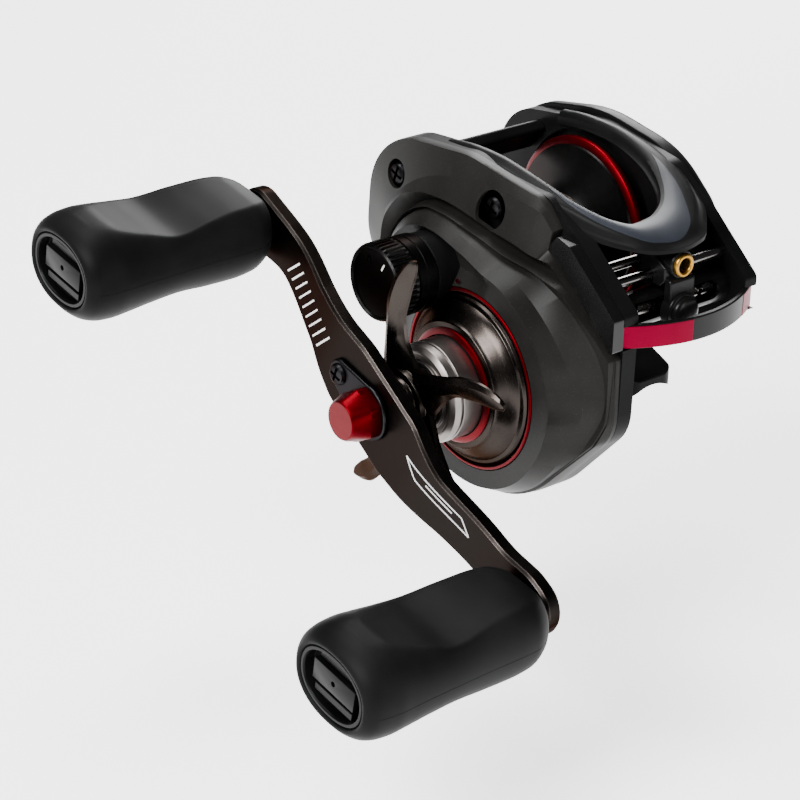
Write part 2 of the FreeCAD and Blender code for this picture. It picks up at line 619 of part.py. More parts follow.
def make_knob_cap(centre):
    rim = Part.makeLoft([oval(-91.4, 8.1, 5.5, centre), oval(-88.1, 8.1, 5.5, centre)], True, True)
    recess = Part.makeLoft([oval(-92.0, 7.2, 4.6, centre), oval(-89.5, 7.2, 4.6, centre)], True, True)
    y, z = centre
    lug = block(-91.2, -89.3, y - 5.2, y + 5.2, z - 2.6, z + 1.4)
    rail = block(-91.0, -89.3, y - 5.0, y + 5.0, z + 2.4, z + 3.4)
    cap = rim.cut(recess).fuse([lug, rail])
    return cap.cut(rod(0.7, -92, -90, (y, z - 0.6)))


for name, spot in KNOBS.items():
    keep("knob_" + name, None, make_knob(spot))
    keep("knob_cap_" + name, None, make_knob_cap(spot))

# ---------------------------------------------------------------- star drag and cast control


def make_star():
    """Five swept arms on a hub; each arm is bowed along its length."""
    hub_back, hub_front = -39.4, -45.2
    star = rod(6.6, -44.2, hub_back, DRIVE).fuse(rod(5.0, hub_front, hub_back, DRIVE))
    for arm in range(int(SIZES["star_arms"])):
        heading = 90 + 360 / SIZES["star_arms"] * arm
        sections = []
        for reach, half, x, thick in ((4.0, 3.6, -42.4, 2.6), (11.0, 2.9, -42.8, 2.2),
                                      (18.0, 3.2, -42.4, 1.8), (24.5, 3.0, -41.7, 1.4),
                                      (SIZES["star_tip_radius"], 1.3, -41.2, 1.0)):
            lean = heading - 14 * (1 - reach / SIZES["star_tip_radius"])
            spot = polar(DRIVE, reach, lean)
            angle = math.radians(lean)
            side = Vector(0, -math.sin(angle), math.cos(angle))
            centre = Vector(x, spot[0], spot[1])
            deep = Vector(thick / 2, 0, 0)
            corners = [centre - side * half, centre - deep, centre + side * half, centre + deep]
            sections.append(Part.makePolygon(corners + corners[:1]))
        star = star.fuse(Part.makeLoft(sections, True, True))
    return star.cut(rod(SIZES["drive_shaft_radius"] + 0.05, -50, -36, DRIVE))


keep("star_wheel", None, make_star())


def make_cast_cap():
    """Cup over the end of the spool shaft, ribbed near its outer end."""
    face, back, radius = SIZES["cap_face"], SIZES["cap_back"], SIZES["cap_radius"]
    cup = rod(radius, face, back, SPOOL)
    ribs = 48
    for rib in range(ribs):
        cup = cup.cut(rod(0.22, face + 1.2, face + 5.2, polar(SPOOL, radius + 0.02, 360 * rib / ribs)))
    cup = cup.cut(rod(radius - 0.9, face - 1, face + 0.4, SPOOL))
    return cup.cut(rod(5.2, face + 2.5, back + 1, SPOOL))


keep("cast_cap", None, make_cast_cap())
washer("cap_stud", 3.9, 5.1, -37.0, -30.0, SPOOL)

# ---------------------------------------------------------------- spool and pinion

flange = "flange_radius"
turned("spool", [(-13.0, "arbor_radius"), (-13.0, "flange_radius - 1.0"), ("0 - flange_edge", flange),
                 (-12.0, flange), (-10.9, "flange_radius - 1.6"), (-8.2, "arbor_radius + 0.6"),
                 (8.2, "arbor_radius + 0.6"), (10.9, "flange_radius - 1.6"),
                 (11.4, "flange_radius - 1.6"), (12.2, "flange_radius - 1.2"),
                 ("flange_edge", "flange_radius - 1.2"), ("flange_edge", "arbor_radius")], SPOOL)
turned("spool_ring", [(11.4, "flange_radius - 1.6"), (12.0, flange), ("flange_edge", flange),
                      ("flange_edge", "flange_radius - 1.2"), (12.2, "flange_radius - 1.2")], SPOOL)
washer("spool_arbor", "spool_shaft_radius", "arbor_radius", -12.4, 12.4, SPOOL)
washer("spool_shaft", 0.0001, "spool_shaft_radius", -35.5, 16.0, SPOOL)
pinion = gear(SIZES["pinion_teeth"], -23.1, -18.4, SPOOL,
              MESH_ANGLE + 180 + 180 / SIZES["pinion_teeth"], 1.55)
pinion = pinion.fuse([tube(1.55, 3.4, -18.4, -13.5, SPOOL), tube(1.55, 2.4, -24.5, -23.1, SPOOL)])
keep("pinion", None, pinion)

# ---------------------------------------------------------------- level-wind drive and guide

IDLER_PHASE = WORM_ANGLE + 180 + 180 / SIZES["idler_teeth"]
keep("idler_gear", None, gear(SIZES["idler_teeth"], -16.8, -15.5, IDLER, IDLER_PHASE, 1.55))
keep("idler_pin", None, rod(1.5, -18.0, -14.6, IDLER))
keep("worm_gear", None, gear(SIZES["worm_teeth"], -16.8, -15.5, WORM, WORM_ANGLE + 180, 1.5))
turned("worm_shaft", [(-16.8, 0), (-16.8, 1.5), (-15.3, 1.5), (-15.3, "worm_radius"),
                      (15.9, "worm_radius"), (15.9, 0)], WORM)


def make_carriage():
    """Line guide body: rides on both bars and carries the eyelet and the pawl."""
    x, running, gap = CARRIAGE_X, SIZES["running"], SIZES["gap"]
    left, right = x - 3.4, x + 3.4
    barrel = Part.makeCylinder(2.75, 7.4, Vector(x, -37.6, EYELET_Z), Vector(0, 1, 0))
    body = barrel.fuse(block(left, right, -36.6, -27.6, 31.4, 36.4))
    front = WORM[0] - SIZES["tube_outer"] - gap
    body = body.fuse(block(left, right, front - 1.9, front, 24.4, 34.0))
    holder = Part.makeCylinder(3.7, 2.6, Vector(x, front - 2.6, WORM[1]), Vector(0, 1, 0))
    body = body.fuse(holder)
    for spot, radius in ((UPPER_BAR, SIZES["upper_bar_radius"]), (LOWER_BAR, SIZES["lower_bar_radius"])):
        body = body.cut(rod(radius + running, left - 1, right + 1, spot))
    # way of the line through the eyelet, and room for the eyelet and the pawl
    body = body.cut(Part.makeCylinder(1.9, 20, Vector(x, -45, EYELET_Z), Vector(0, 1, 0)))
    body = body.cut(Part.makeCylinder(2.4, 2.4, Vector(x, -38.7, EYELET_Z), Vector(0, 1, 0)))
    body = body.cut(Part.makeCylinder(1.25, 6, Vector(x, front - 5, WORM[1]), Vector(0, 1, 0)))
    return body.cut(rod(SIZES["tube_outer"] + gap, left - 1, right + 1, WORM)).removeSplitter()


keep("line_carriage", None, make_carriage())


def along_y(profile, x, z):
    """Turned about a line along Y; profile corners are (y, radius)."""
    face = Part.Face(Part.makePolygon([Vector(r, y, 0) for y, r in profile + profile[:1]]))
    solid = face.revolve(Vector(0, 0, 0), Vector(0, 1, 0), 360)
    solid.translate(Vector(x, 0, z))
    return solid


keep("line_eyelet", None, along_y([(-38.5, 1.75), (-38.0, 1.4), (-36.5, 1.4), (-36.3, 1.85),
                                   (-36.3, 2.33), (-38.1, 2.33), (-38.5, 2.1)],
                                  CARRIAGE_X, EYELET_Z))
PAWL_BACK = WORM[0] - SIZES["worm_radius"] - 0.1
PAWL_FRONT = WORM[0] - SIZES["tube_outer"] - SIZES["gap"] - 2.6
keep("pawl", None, along_y([(PAWL_FRONT, 0), (PAWL_BACK, 0), (PAWL_BACK, 1.2), (PAWL_FRONT, 1.2)],
                           CARRIAGE_X, WORM[1]))
keep("pawl_cap", None, along_y([(PAWL_FRONT, 0), (PAWL_FRONT, 3.1), (PAWL_FRONT - 0.5, 3.1),
                                (PAWL_FRONT - 1.1, 2.5), (PAWL_FRONT - 1.4, 1.2),
                                (PAWL_FRONT - 1.4, 0)], CARRIAGE_X, WORM[1]))

# ---------------------------------------------------------------- clutch bar and brake dial


def make_thumb_bar():
    """Thumb bar across the rear of the spool, hollow towards the thumb."""
    out = [(-4.0, 1.6, 0.8), (-3.6, -1.3, 0.8), (3.4, -1.3, 0.8), (4.2, 1.9, 0.8), (0.0, 0.9, 8)]
    tilt = math.radians(50)
    centre = (SPOOL[0] + 21.3 * math.sin(tilt), SPOOL[1] + 21.3 * math.cos(tilt))
    points = []
    for along, height, radius in out:
        y = centre[0] + along * math.cos(tilt) + height * math.sin(tilt)
        z = centre[1] - along * math.sin(tilt) + height * math.cos(tilt)
        points.append((y, z, radius))
    return slab_x(points, SIZES["plate_in"] + 0.4, SIZES["palm_in"] - 0.4)


keep("thumb_bar", None, make_thumb_bar())
DIAL_BACK = SIZES["palm_out"] + 0.15 + 4.5
turned("brake_dial", [(DIAL_BACK + 0.1, 0), (DIAL_BACK + 0.1, 10.3), (DIAL_BACK + 2.6, 10.3),
                      (DIAL_BACK + 3.6, 9.4), (DIAL_BACK + 3.6, 0)], SPOOL)
washer("brake_post", 0.0001, 2.2, 16.4, DIAL_BACK + 0.1, SPOOL)

doc.recompute()
broken = [thing.Name for thing in doc.Objects if set(thing.State) & {"Invalid", "Error"}]
assert not broken, broken
os.makedirs("parts", exist_ok=True)
for label, thing in PARTS.items():
    shape = thing.Shape
    assert not shape.isNull() and shape.isValid() and shape.Volume > 0, label
    shape.exportStep(f"parts/{label}.step")
print(len(PARTS), "parts")
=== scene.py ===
import json
import math

import bmesh
import bpy
from mathutils import Matrix, Vector


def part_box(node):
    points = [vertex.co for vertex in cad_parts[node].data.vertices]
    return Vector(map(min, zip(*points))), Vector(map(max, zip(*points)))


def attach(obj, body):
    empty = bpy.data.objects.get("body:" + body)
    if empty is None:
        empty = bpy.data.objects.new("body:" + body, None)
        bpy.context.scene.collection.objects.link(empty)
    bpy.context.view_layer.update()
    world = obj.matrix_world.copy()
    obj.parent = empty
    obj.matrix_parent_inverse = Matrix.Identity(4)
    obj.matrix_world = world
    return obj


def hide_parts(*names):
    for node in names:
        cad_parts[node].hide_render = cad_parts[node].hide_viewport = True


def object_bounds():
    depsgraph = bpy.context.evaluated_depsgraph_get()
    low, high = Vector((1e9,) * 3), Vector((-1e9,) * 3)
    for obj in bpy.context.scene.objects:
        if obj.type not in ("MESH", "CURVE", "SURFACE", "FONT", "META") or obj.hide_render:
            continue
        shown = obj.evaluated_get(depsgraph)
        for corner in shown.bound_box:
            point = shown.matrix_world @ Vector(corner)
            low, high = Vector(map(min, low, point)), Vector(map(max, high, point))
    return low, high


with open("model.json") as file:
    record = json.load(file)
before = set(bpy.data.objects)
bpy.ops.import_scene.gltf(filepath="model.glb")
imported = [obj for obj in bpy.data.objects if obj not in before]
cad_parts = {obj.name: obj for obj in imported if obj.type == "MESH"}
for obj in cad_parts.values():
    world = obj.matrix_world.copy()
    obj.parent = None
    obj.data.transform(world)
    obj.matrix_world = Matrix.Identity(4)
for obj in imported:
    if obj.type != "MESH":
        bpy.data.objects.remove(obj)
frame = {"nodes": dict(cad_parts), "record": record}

cad_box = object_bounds()
MM = 0.001

# Main places, in millimetres of the part's frame: +X palm side, +Y to the angler, +Z up.


def middle(node):
    low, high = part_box(node)
    return (low + high) / 2 / MM


def yz(point):
    return (point[1], point[2])


DRIVE = yz(middle("drive_shaft"))
SPOOL = yz(middle("spool"))
WORM = yz(middle("worm_shaft"))
UPPER_BAR = yz(middle("upper_bar"))
LOWER_BAR = yz(middle("lower_bar"))
EYELET = middle("line_eyelet")
PLATE_OUT, PLATE_IN, PALM_IN = -17.0, -13.6, 14.0
CRANK_ANGLE = 30.0

# ------ camera, floor, light


CAMERA_ANGLES = (-39.34, 25.98, 1.57)  # azimuth, elevation and roll in degrees
CAMERA_SPOT = (-332.8, -361.1, 231.0)
LENS = 121.5


def make_camera():
    """Camera from the front, handle side and above."""
    azimuth, elevation, roll = map(math.radians, CAMERA_ANGLES)
    back = Vector((math.sin(azimuth) * math.cos(elevation),
                   -math.cos(azimuth) * math.cos(elevation), math.sin(elevation)))
    data = bpy.data.cameras.new("camera")
    data.lens = LENS
    data.sensor_width = 36.0
    data.clip_start, data.clip_end = 0.01, 20
    camera = bpy.data.objects.new("camera", data)
    bpy.context.scene.collection.objects.link(camera)
    turn = (-back).to_track_quat("-Z", "Y").to_matrix().to_4x4()
    spot = Vector(CAMERA_SPOT) * MM
    camera.matrix_world = Matrix.Translation(spot) @ turn @ Matrix.Rotation(roll, 4, "Z")
    bpy.context.scene.camera = camera


# Lights, in metres and watts: name, place, size, power. All point at LIT_CENTRE.
LIT_CENTRE = (-0.02, -0.01, 0.02)
LIGHTS = [("left", (-0.70, -0.12, 0.62), (0.45, 0.35), 16),
          ("top", (-0.05, 0.25, 0.8), (0.5, 0.3), 9),
          ("front", (0.18, -0.85, 0.16), (0.3, 0.5), 3.2),
          ("rim", (0.55, 0.5, 0.45), (0.25, 0.6), 9)]


def area_light(name, spot, size, power):
    data = bpy.data.lights.new(name, "AREA")
    data.shape = "RECTANGLE"
    data.size, data.size_y = size
    data.energy = power
    lamp = bpy.data.objects.new(name, data)
    bpy.context.scene.collection.objects.link(lamp)
    lamp.location = spot
    lamp.rotation_mode = "QUATERNION"
    lamp.rotation_quaternion = (Vector(LIT_CENTRE) - Vector(spot)).to_track_quat("-Z", "Y")


def make_studio():
    low = cad_box[0].z - 0.03
    bpy.ops.mesh.primitive_plane_add(size=40, location=(0, 0, low))
    floor = bpy.context.object
    floor.name = "floor"
    material, nodes, links, shader = new_material("floor_white", (0.93, 0.93, 0.93), 0.9)
    shader.inputs["Emission Color"].default_value = (1, 1, 1, 1)
    shader.inputs["Emission Strength"].default_value = 1.6
    shade = ramp(nodes, links, noise(nodes, links, 3, 2),
                 [(0.3, (0.9, 0.9, 0.9)), (0.7, (0.94, 0.94, 0.94))])
    links.new(shade, shader.inputs["Base Color"])
    floor.data.materials.append(material)
    for light in LIGHTS:
        area_light(*light)
    world = bpy.data.worlds.new("world")
    bpy.context.scene.world = world
    world.use_nodes = True
    background = world.node_tree.nodes["Background"]
    background.inputs["Color"].default_value = (1, 1, 1, 1)
    background.inputs["Strength"].default_value = 0.07


# ------ materials


def new_material(name, colour, roughness, metallic=0.0):
    material = bpy.data.materials.new(name)
    material.use_nodes = True
    nodes, links = material.node_tree.nodes, material.node_tree.links
    shader = nodes["Principled BSDF"]
    shader.inputs["Base Color"].default_value = (*colour, 1)
    shader.inputs["Roughness"].default_value = roughness
    shader.inputs["Metallic"].default_value = metallic
    shader.inputs["Specular IOR Level"].default_value = 0.15
    return material, nodes, links, shader


def object_coordinates(nodes):
    return nodes.new("ShaderNodeTexCoord").outputs["Object"]


def noise(nodes, links, scale, detail=3.0, stretch=None):
    texture = nodes.new("ShaderNodeTexNoise")
    texture.inputs["Scale"].default_value = scale
    texture.inputs["Detail"].default_value = detail
    source = object_coordinates(nodes)
    if stretch:
        mapping = nodes.new("ShaderNodeMapping")
        mapping.inputs["Scale"].default_value = stretch
        links.new(source, mapping.inputs["Vector"])
        source = mapping.outputs["Vector"]
    links.new(source, texture.inputs["Vector"])
    return texture.outputs["Fac"]


def ramp(nodes, links, source, stops):
    node = nodes.new("ShaderNodeValToRGB")
    elements = node.color_ramp.elements
    for index, (place, colour) in enumerate(stops):
        element = elements[index] if index < 2 else elements.new(place)
        element.position = place
        element.color = (*colour, 1) if len(colour) == 3 else colour
    links.new(source, node.inputs["Fac"])
    return node.outputs["Color"]


def vary_roughness(nodes, links, shader, source, low, high):
    node = nodes.new("ShaderNodeMapRange")
    node.inputs["To Min"].default_value = low
    node.inputs["To Max"].default_value = high
    links.new(source, node.inputs["Value"])
    links.new(node.outputs["Result"], shader.inputs["Roughness"])


def bump(nodes, links, shader, source, strength, distance=0.0001):
    node = nodes.new("ShaderNodeBump")
    node.inputs["Strength"].default_value = strength
    node.inputs["Distance"].default_value = distance
    links.new(source, node.inputs["Height"])
    links.new(node.outputs["Normal"], shader.inputs["Normal"])


# How far in from an edge the painted edge highlight reaches.
EDGE_HIGHLIGHT_REACH = 0.0004


def painted_edge_highlight(nodes, links, shader, base, edge):
    """Painted highlight: edges made a little lighter, from a bevel normal set against the true one.
    """
    geometry = nodes.new("ShaderNodeNewGeometry")
    bevel = nodes.new("ShaderNodeBevel")
    bevel.inputs["Radius"].default_value = EDGE_HIGHLIGHT_REACH
    bevel.samples = 4
    dot = nodes.new("ShaderNodeVectorMath")
    dot.operation = "DOT_PRODUCT"
    links.new(bevel.outputs["Normal"], dot.inputs[0])
    links.new(geometry.outputs["Normal"], dot.inputs[1])
    colour = ramp(nodes, links, dot.outputs["Value"], [(0.86, edge), (0.985, base)])
    links.new(colour, shader.inputs["Base Color"])


def plastic(name, colour, roughness, grain=1.0, speckle=0.0, coat=0.0, shine=0.08):
    """Moulded or painted black: fine grain, uneven sheen and, if asked, metallic flecks."""
    material, nodes, links, shader = new_material(name, colour, roughness)
    shader.inputs["Specular IOR Level"].default_value = shine
    fine = noise(nodes, links, 5200, 2)
    broad = noise(nodes, links, 45, 4)
    lighter = tuple(min(1, c * 1.5 + 0.004) for c in colour)
    darker = tuple(c * 0.75 for c in colour)
    tint = ramp(nodes, links, broad, [(0.3, darker), (0.7, lighter)])
    if speckle:
        flecks = nodes.new("ShaderNodeTexVoronoi")
        flecks.inputs["Scale"].default_value = 4200
        links.new(object_coordinates(nodes), flecks.inputs["Vector"])
        mask = ramp(nodes, links, flecks.outputs["Distance"], [(0.0, (1, 1, 1)), (0.25, (0, 0, 0))])
        picks = ramp(nodes, links, flecks.outputs["Color"], [(0.55, (0, 0, 0)), (0.9, (1, 1, 1))])
        both = nodes.new("ShaderNodeMix")
        both.data_type, both.blend_type = "RGBA", "MULTIPLY"
        both.inputs["Factor"].default_value = 1.0
        links.new(mask, both.inputs["A"])
        links.new(picks, both.inputs["B"])
        mix = nodes.new("ShaderNodeMix")
        mix.data_type = "RGBA"
        links.new(both.outputs["Result"], mix.inputs["Factor"])
        links.new(tint, mix.inputs["A"])
        mix.inputs["B"].default_value = (*(min(1, c * 6 + speckle) for c in colour), 1)
        tint = mix.outputs["Result"]
    links.new(tint, shader.inputs["Base Color"])
    vary_roughness(nodes, links, shader, broad, roughness - 0.06, roughness + 0.06)
    bump(nodes, links, shader, fine, 0.12 * grain, 0.00004)
    shader.inputs["Coat Weight"].default_value = coat
    shader.inputs["Coat Roughness"].default_value = 0.25
    return material


# Dark coated metals below this brightness reflect little at a grazing angle too.
DARK_METAL, DARK_EDGE = 0.08, (0.45, 0.42, 0.41, 1)


def metal(name, colour, roughness, stretch=(1, 1, 1), brush=0.15, edge_highlight=None):
    """Metal with a turned or brushed grain along the stretched directions."""
    material, nodes, links, shader = new_material(name, colour, roughness, 1.0)
    if max(colour) < DARK_METAL:
        shader.inputs["Specular Tint"].default_value = DARK_EDGE
    grain = noise(nodes, links, 900, 4, stretch)
    broad = noise(nodes, links, 60, 3)
    darker = tuple(c * 0.8 for c in colour)
    lighter = tuple(min(1, c * 1.15) for c in colour)
    # An edge colour, if given, paints a highlight along the edges, lighter than the base.
    if edge_highlight:
        painted_edge_highlight(nodes, links, shader, colour, edge_highlight)
    else:
        links.new(ramp(nodes, links, broad, [(0.3, darker), (0.7, lighter)]),
                  shader.inputs["Base Color"])
    vary_roughness(nodes, links, shader, grain, max(0.05, roughness - 0.07), roughness + 0.09)
    bump(nodes, links, shader, grain, brush, 0.00003)
    return material


def make_materials():
    around = (6, 1, 1)
    return {
        "frame_black": plastic("frame_black", (0.0014, 0.0014, 0.0015), 0.36, 0.2, shine=0.035),
        "cover_speckle": plastic("cover_speckle", (0.0062, 0.0057, 0.0051), 0.38, 1.2, 0.04,
                                 shine=0.085),
        "cover_black": plastic("cover_black", (0.0016, 0.0016, 0.0017), 0.36, 0.8, shine=0.04),
        "slate_panel": plastic("slate_panel", (0.0081, 0.0099, 0.014), 0.42, 0.4, 0.01, 0.1),
        "gloss_black": plastic("gloss_black", (0.00054, 0.00054, 0.00054), 0.14, 0.1, 0.0, 0.3),
        "bar_black": plastic("bar_black", (0.0011, 0.0011, 0.0011), 0.30, 0.4, 0.0, 0.1),
        "red_inlay": metal("red_inlay", (0.13, 0.0004, 0.014), 0.42, (0.3, 1, 8), 0.2),
        "red_anodised": metal("red_anodised", (0.095, 0.0002, 0.0035), 0.42, around, 0.08),
        "black_steel": metal("black_steel", (0.018, 0.018, 0.0195), 0.33, (1, 1, 1), 0.1),
        "gunmetal": metal("gunmetal", (0.030, 0.025, 0.0225), 0.24, around, 0.05),
        "gunmetal_bright": metal("gunmetal_bright", (0.20, 0.18, 0.17), 0.33, around, 0.05),
        # gunmetal_dark: its lighter bronze edge colour is a painted edge highlight.
        "gunmetal_dark": metal("gunmetal_dark", (0.0125, 0.0110, 0.0103), 0.34, (1, 1, 1), 0.12,
                               (0.11, 0.09, 0.08)),
        "bearing_steel": metal("bearing_steel", (0.171, 0.162, 0.158), 0.16, (0.2, 4, 4), 0.08),
        "yoke_plastic": plastic("yoke_plastic", (0.113, 0.11, 0.099), 0.5, 0.5),
        "brass_gear": metal("brass_gear", (0.203, 0.14, 0.054), 0.25, (1, 1, 1), 0.15),
        "carbon_drag": plastic("carbon_drag", (0.0018, 0.0018, 0.0018), 0.45, 2.0),
        "knob_grip": plastic("knob_grip", (0.0016, 0.0016, 0.0018), 0.50, 1.2, shine=0.05),
        "knob_cap": plastic("knob_cap", (0.00099, 0.00099, 0.0011), 0.32, 0.5),
        "spool_black": metal("spool_black", (0.03, 0.029, 0.029), 0.30, around, 0.1),
        "gold_ring": metal("gold_ring", (0.42, 0.22, 0.035), 0.34, (1, 1, 1), 0.05),
        "cap_black": metal("cap_black", (0.013, 0.0127, 0.0127), 0.34, around, 0.15),
        "white_mark": plastic("white_mark", (0.55, 0.55, 0.55), 0.45, 0.3),
    }


MATERIALS = make_materials()
NODE_SLOT = {entry["node"]: entry["material_slot"] for entry in frame["record"]["subparts"]}
NODE_BODY = {node: body for body, nodes in frame["record"]["behaviour"]["bodies"].items()
             for node in nodes}

# ------ mesh tools


def mesh_object(name, vertices, faces, weld):
    """Object from points in millimetres, its faces turned outwards."""
    mesh = bpy.data.meshes.new(name)
    mesh.from_pydata([Vector(v) * MM for v in vertices], [], faces)
    mesh.update()
    work = bmesh.new()
    work.from_mesh(mesh)
    if weld:
        bmesh.ops.remove_doubles(work, verts=work.verts, dist=1e-7)
    bmesh.ops.recalc_face_normals(work, faces=work.faces)
    work.to_mesh(mesh)
    work.free()
    thing = bpy.data.objects.new(name, mesh)
    bpy.context.scene.collection.objects.link(thing)
    return thing


def piece(name, vertices, faces, node=None, slot=None, body=None, replaces=None,
          bevel=0.0, bevel_angle=30.0, smooth=35.0, segments=2):
    """A mesh piece in millimetres. It stands for the CAD node(s), or only rides on a body."""
    thing = mesh_object(name, vertices, faces, weld=True)
    thing.data.shade_smooth()
    if bevel:
        edge = thing.modifiers.new("edges", "BEVEL")
        edge.width = bevel * MM
        edge.segments = segments
        edge.limit_method = "ANGLE"
        edge.angle_limit = math.radians(bevel_angle)
        edge.use_clamp_overlap = True
        edge.harden_normals = False
    if smooth:
        set_sharp(thing, smooth)
    settle(thing, node, slot, body, replaces)
    return thing


def set_sharp(thing, degrees):
    thing.data.set_sharp_from_angle(angle=math.radians(degrees))


def settle(thing, node=None, slot=None, body=None, replaces=None):
    """Gives a piece its material, its body and the CAD nodes that it stands for."""
    nodes = replaces if replaces is not None else ([node] if node else [])
    slot = slot or NODE_SLOT[node or nodes[0]]
    body = body or NODE_BODY[node or nodes[0]]
    thing.data.materials.clear()
    thing.data.materials.append(MATERIALS[slot])
    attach(thing, body)
    if nodes:
        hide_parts(*nodes)


def grid_faces(rings, count, closed_rings=False, closed_round=True):
    """Quads between successive rings of count points each."""
    faces = []
    last = rings if closed_rings else rings - 1
    for ring in range(last):
        after = (ring + 1) % rings
        for index in range(count if closed_round else count - 1):
            step = (index + 1) % count
            faces.append((ring * count + index, ring * count + step,
                          after * count + step, after * count + index))
    return faces


def skin(rings, cap_start=True, cap_end=True):
    """Vertices and faces over closed rings of equally many points."""
    count = len(rings[0])
    faces = grid_faces(len(rings), count)
    if cap_start:
        faces.append(tuple(range(count)))
    if cap_end:
        faces.append(tuple((len(rings) - 1) * count + index for index in range(count)))
    return [point for ring in rings for point in ring], faces


def loft(name, rings, cap_start=True, cap_end=True, **options):
    """A piece over closed rings, with or without its end caps."""
    return piece(name, *skin(rings, cap_start, cap_end), **options)


def hoop(name, rings, **options):
    """A piece over rings that close on themselves, the last back to the first."""
    vertices = [point for ring in rings for point in ring]
    faces = grid_faces(len(rings), len(rings[0]), closed_rings=True)
    return piece(name, vertices, faces, **options)


def lathe(name, profile, centre, segments=96, axis="x", **options):
    """Turned piece: profile of (distance along the axis, radius), closed on itself."""
    rings = []
    for step in range(segments):
        angle = 2 * math.pi * step / segments
        c, s = math.cos(angle), math.sin(angle)
        if axis == "x":
            rings.append([(along, centre[0] + r * c, centre[1] + r * s) for along, r in profile])
        else:
            rings.append([(centre[0] + r * c, along, centre[1] + r * s) for along, r in profile])
    return hoop(name, rings, **options)


def rounded(corners, step_degrees=8.0):
    """Closed outline from (a, b, corner radius) corners, each corner an arc."""
    points = []
    count = len(corners)
    for index, (a, b, radius) in enumerate(corners):
        corner = Vector((a, b))
        before = (Vector(corners[index - 1][:2]) - corner).normalized()
        after = (Vector(corners[(index + 1) % count][:2]) - corner).normalized()
        if radius <= 0:
            points.append(corner)
            continue
        half = before.angle(after) / 2
        centre = corner + (before + after).normalized() * radius / math.sin(half)
        start = corner + before * radius / math.tan(half) - centre
        sweep = math.pi - 2 * half
        turn = 1 if before.x * after.y - before.y * after.x < 0 else -1
        steps = max(2, math.ceil(math.degrees(sweep) / step_degrees))
        for step in range(steps + 1):
            points.append(centre + Matrix.Rotation(turn * sweep * step / steps, 2) @ start)
    return points


def slab_x(name, outline, x_from, x_to, **options):
    rings = [[(x, y, z) for y, z in outline] for x in (x_from, x_to)]
    return loft(name, rings, **options)


def smooth_step(value, low, high):
    t = min(1.0, max(0.0, (value - low) / (high - low)))
    return t * t * (3 - 2 * t)


def along_table(table, value):
    """Smooth interpolation (monotone cubic) through (value, result) rows."""
    if value <= table[0][0]:
        return table[0][1]
    if value >= table[-1][0]:
        return table[-1][1]
    spot = next(i for i in range(len(table) - 1) if table[i + 1][0] >= value)

    def slope(i):
        if i == 0 or i == len(table) - 1:
            j = max(i - 1, 0)
            return (table[j + 1][1] - table[j][1]) / (table[j + 1][0] - table[j][0])
        left = (table[i][1] - table[i - 1][1]) / (table[i][0] - table[i - 1][0])
        right = (table[i + 1][1] - table[i][1]) / (table[i + 1][0] - table[i][0])
        return 0.0 if left * right <= 0 else 2 * left * right / (left + right)

    (x0, y0), (x1, y1) = table[spot], table[spot + 1]
    width = x1 - x0
    t = (value - x0) / width
    t2, t3 = t * t, t * t * t
    return ((2 * t3 - 3 * t2 + 1) * y0 + (t3 - 2 * t2 + t) * width * slope(spot)
            + (3 * t2 - 2 * t3) * y1 + (t3 - t2) * width * slope(spot + 1))


def round_table(table):
    """A table over a full turn, in degrees, repeated past both ends."""
    return ([(a - 360, r) for a, r in table[-3:]] + table + [(a + 360, r) for a, r in table[:3]])


def polar(centre, radius, degrees):
    angle = math.radians(degrees)
    return (centre[0] + radius * math.cos(angle), centre[1] + radius * math.sin(angle))


def turned(centre, degrees, a, b):
    """The point (a, b) turned by an angle and set off from the centre."""
    c, s = math.cos(math.radians(degrees)), math.sin(math.radians(degrees))
    return (centre[0] + a * c - b * s, centre[1] + a * s + b * c)


def cutter(name, rings):
    """Closed solid used to cut another piece; it is deleted after use."""
    return mesh_object(name, *skin(rings), weld=False)


def round_cutter(centre, radius, x_from, x_to, segments=40):
    rings = [[(x, *polar(centre, radius, 360 * k / segments)) for k in range(segments)]
             for x in (x_from, x_to)]
    return cutter("cutter", rings)


def cut(thing, cutters, sharp=35.0):
    """Takes the cutters out of a piece and applies its modifiers so far."""
    for tool in cutters:
        modifier = thing.modifiers.new("cut", "BOOLEAN")
        modifier.operation = "DIFFERENCE"
        modifier.solver = "EXACT"
        modifier.object = tool
    graph = bpy.context.evaluated_depsgraph_get()
    mesh = bpy.data.meshes.new_from_object(thing.evaluated_get(graph))
    thing.modifiers.clear()
    thing.data = mesh
    mesh.shade_smooth()
    set_sharp(thing, sharp)
    for tool in cutters:
        bpy.data.objects.remove(tool)


# ------ gear cover

COVER_OUTLINE = [(-39.6, 6.1, 10), (-19.5, -16.1, 24.6), (4.2, -16.1, 24.6), (32.8, 23.2, 12),
                 (31.4, 45.9, 15), (3.0, 48.9, 20), (-17.5, 46.4, 6), (-22.5, 41.2, 1),
                 (-20.5, 38.2, 1), (-36.5, 24.5, 2), (-39.5, 21.6, 1)]


def outline_radius(outline, centre, degrees):
    """Distance from the centre to the outline along a direction."""
    angle = math.radians(degrees)
    ray = Vector((math.cos(angle), math.sin(angle)))
    best = 0.0
    for start, end in zip(outline, outline[1:] + outline[:1]):
        a = start - Vector(centre)
        edge = end - start
        cross = ray.x * edge.y - ray.y * edge.x
        if abs(cross) < 1e-9:
            continue
        reach = (a.x * edge.y - a.y * edge.x) / cross
        part = (a.x * ray.y - a.y * ray.x) / cross
        if reach > 0 and -1e-9 <= part <= 1 + 1e-9:
            best = max(best, reach)
    return best


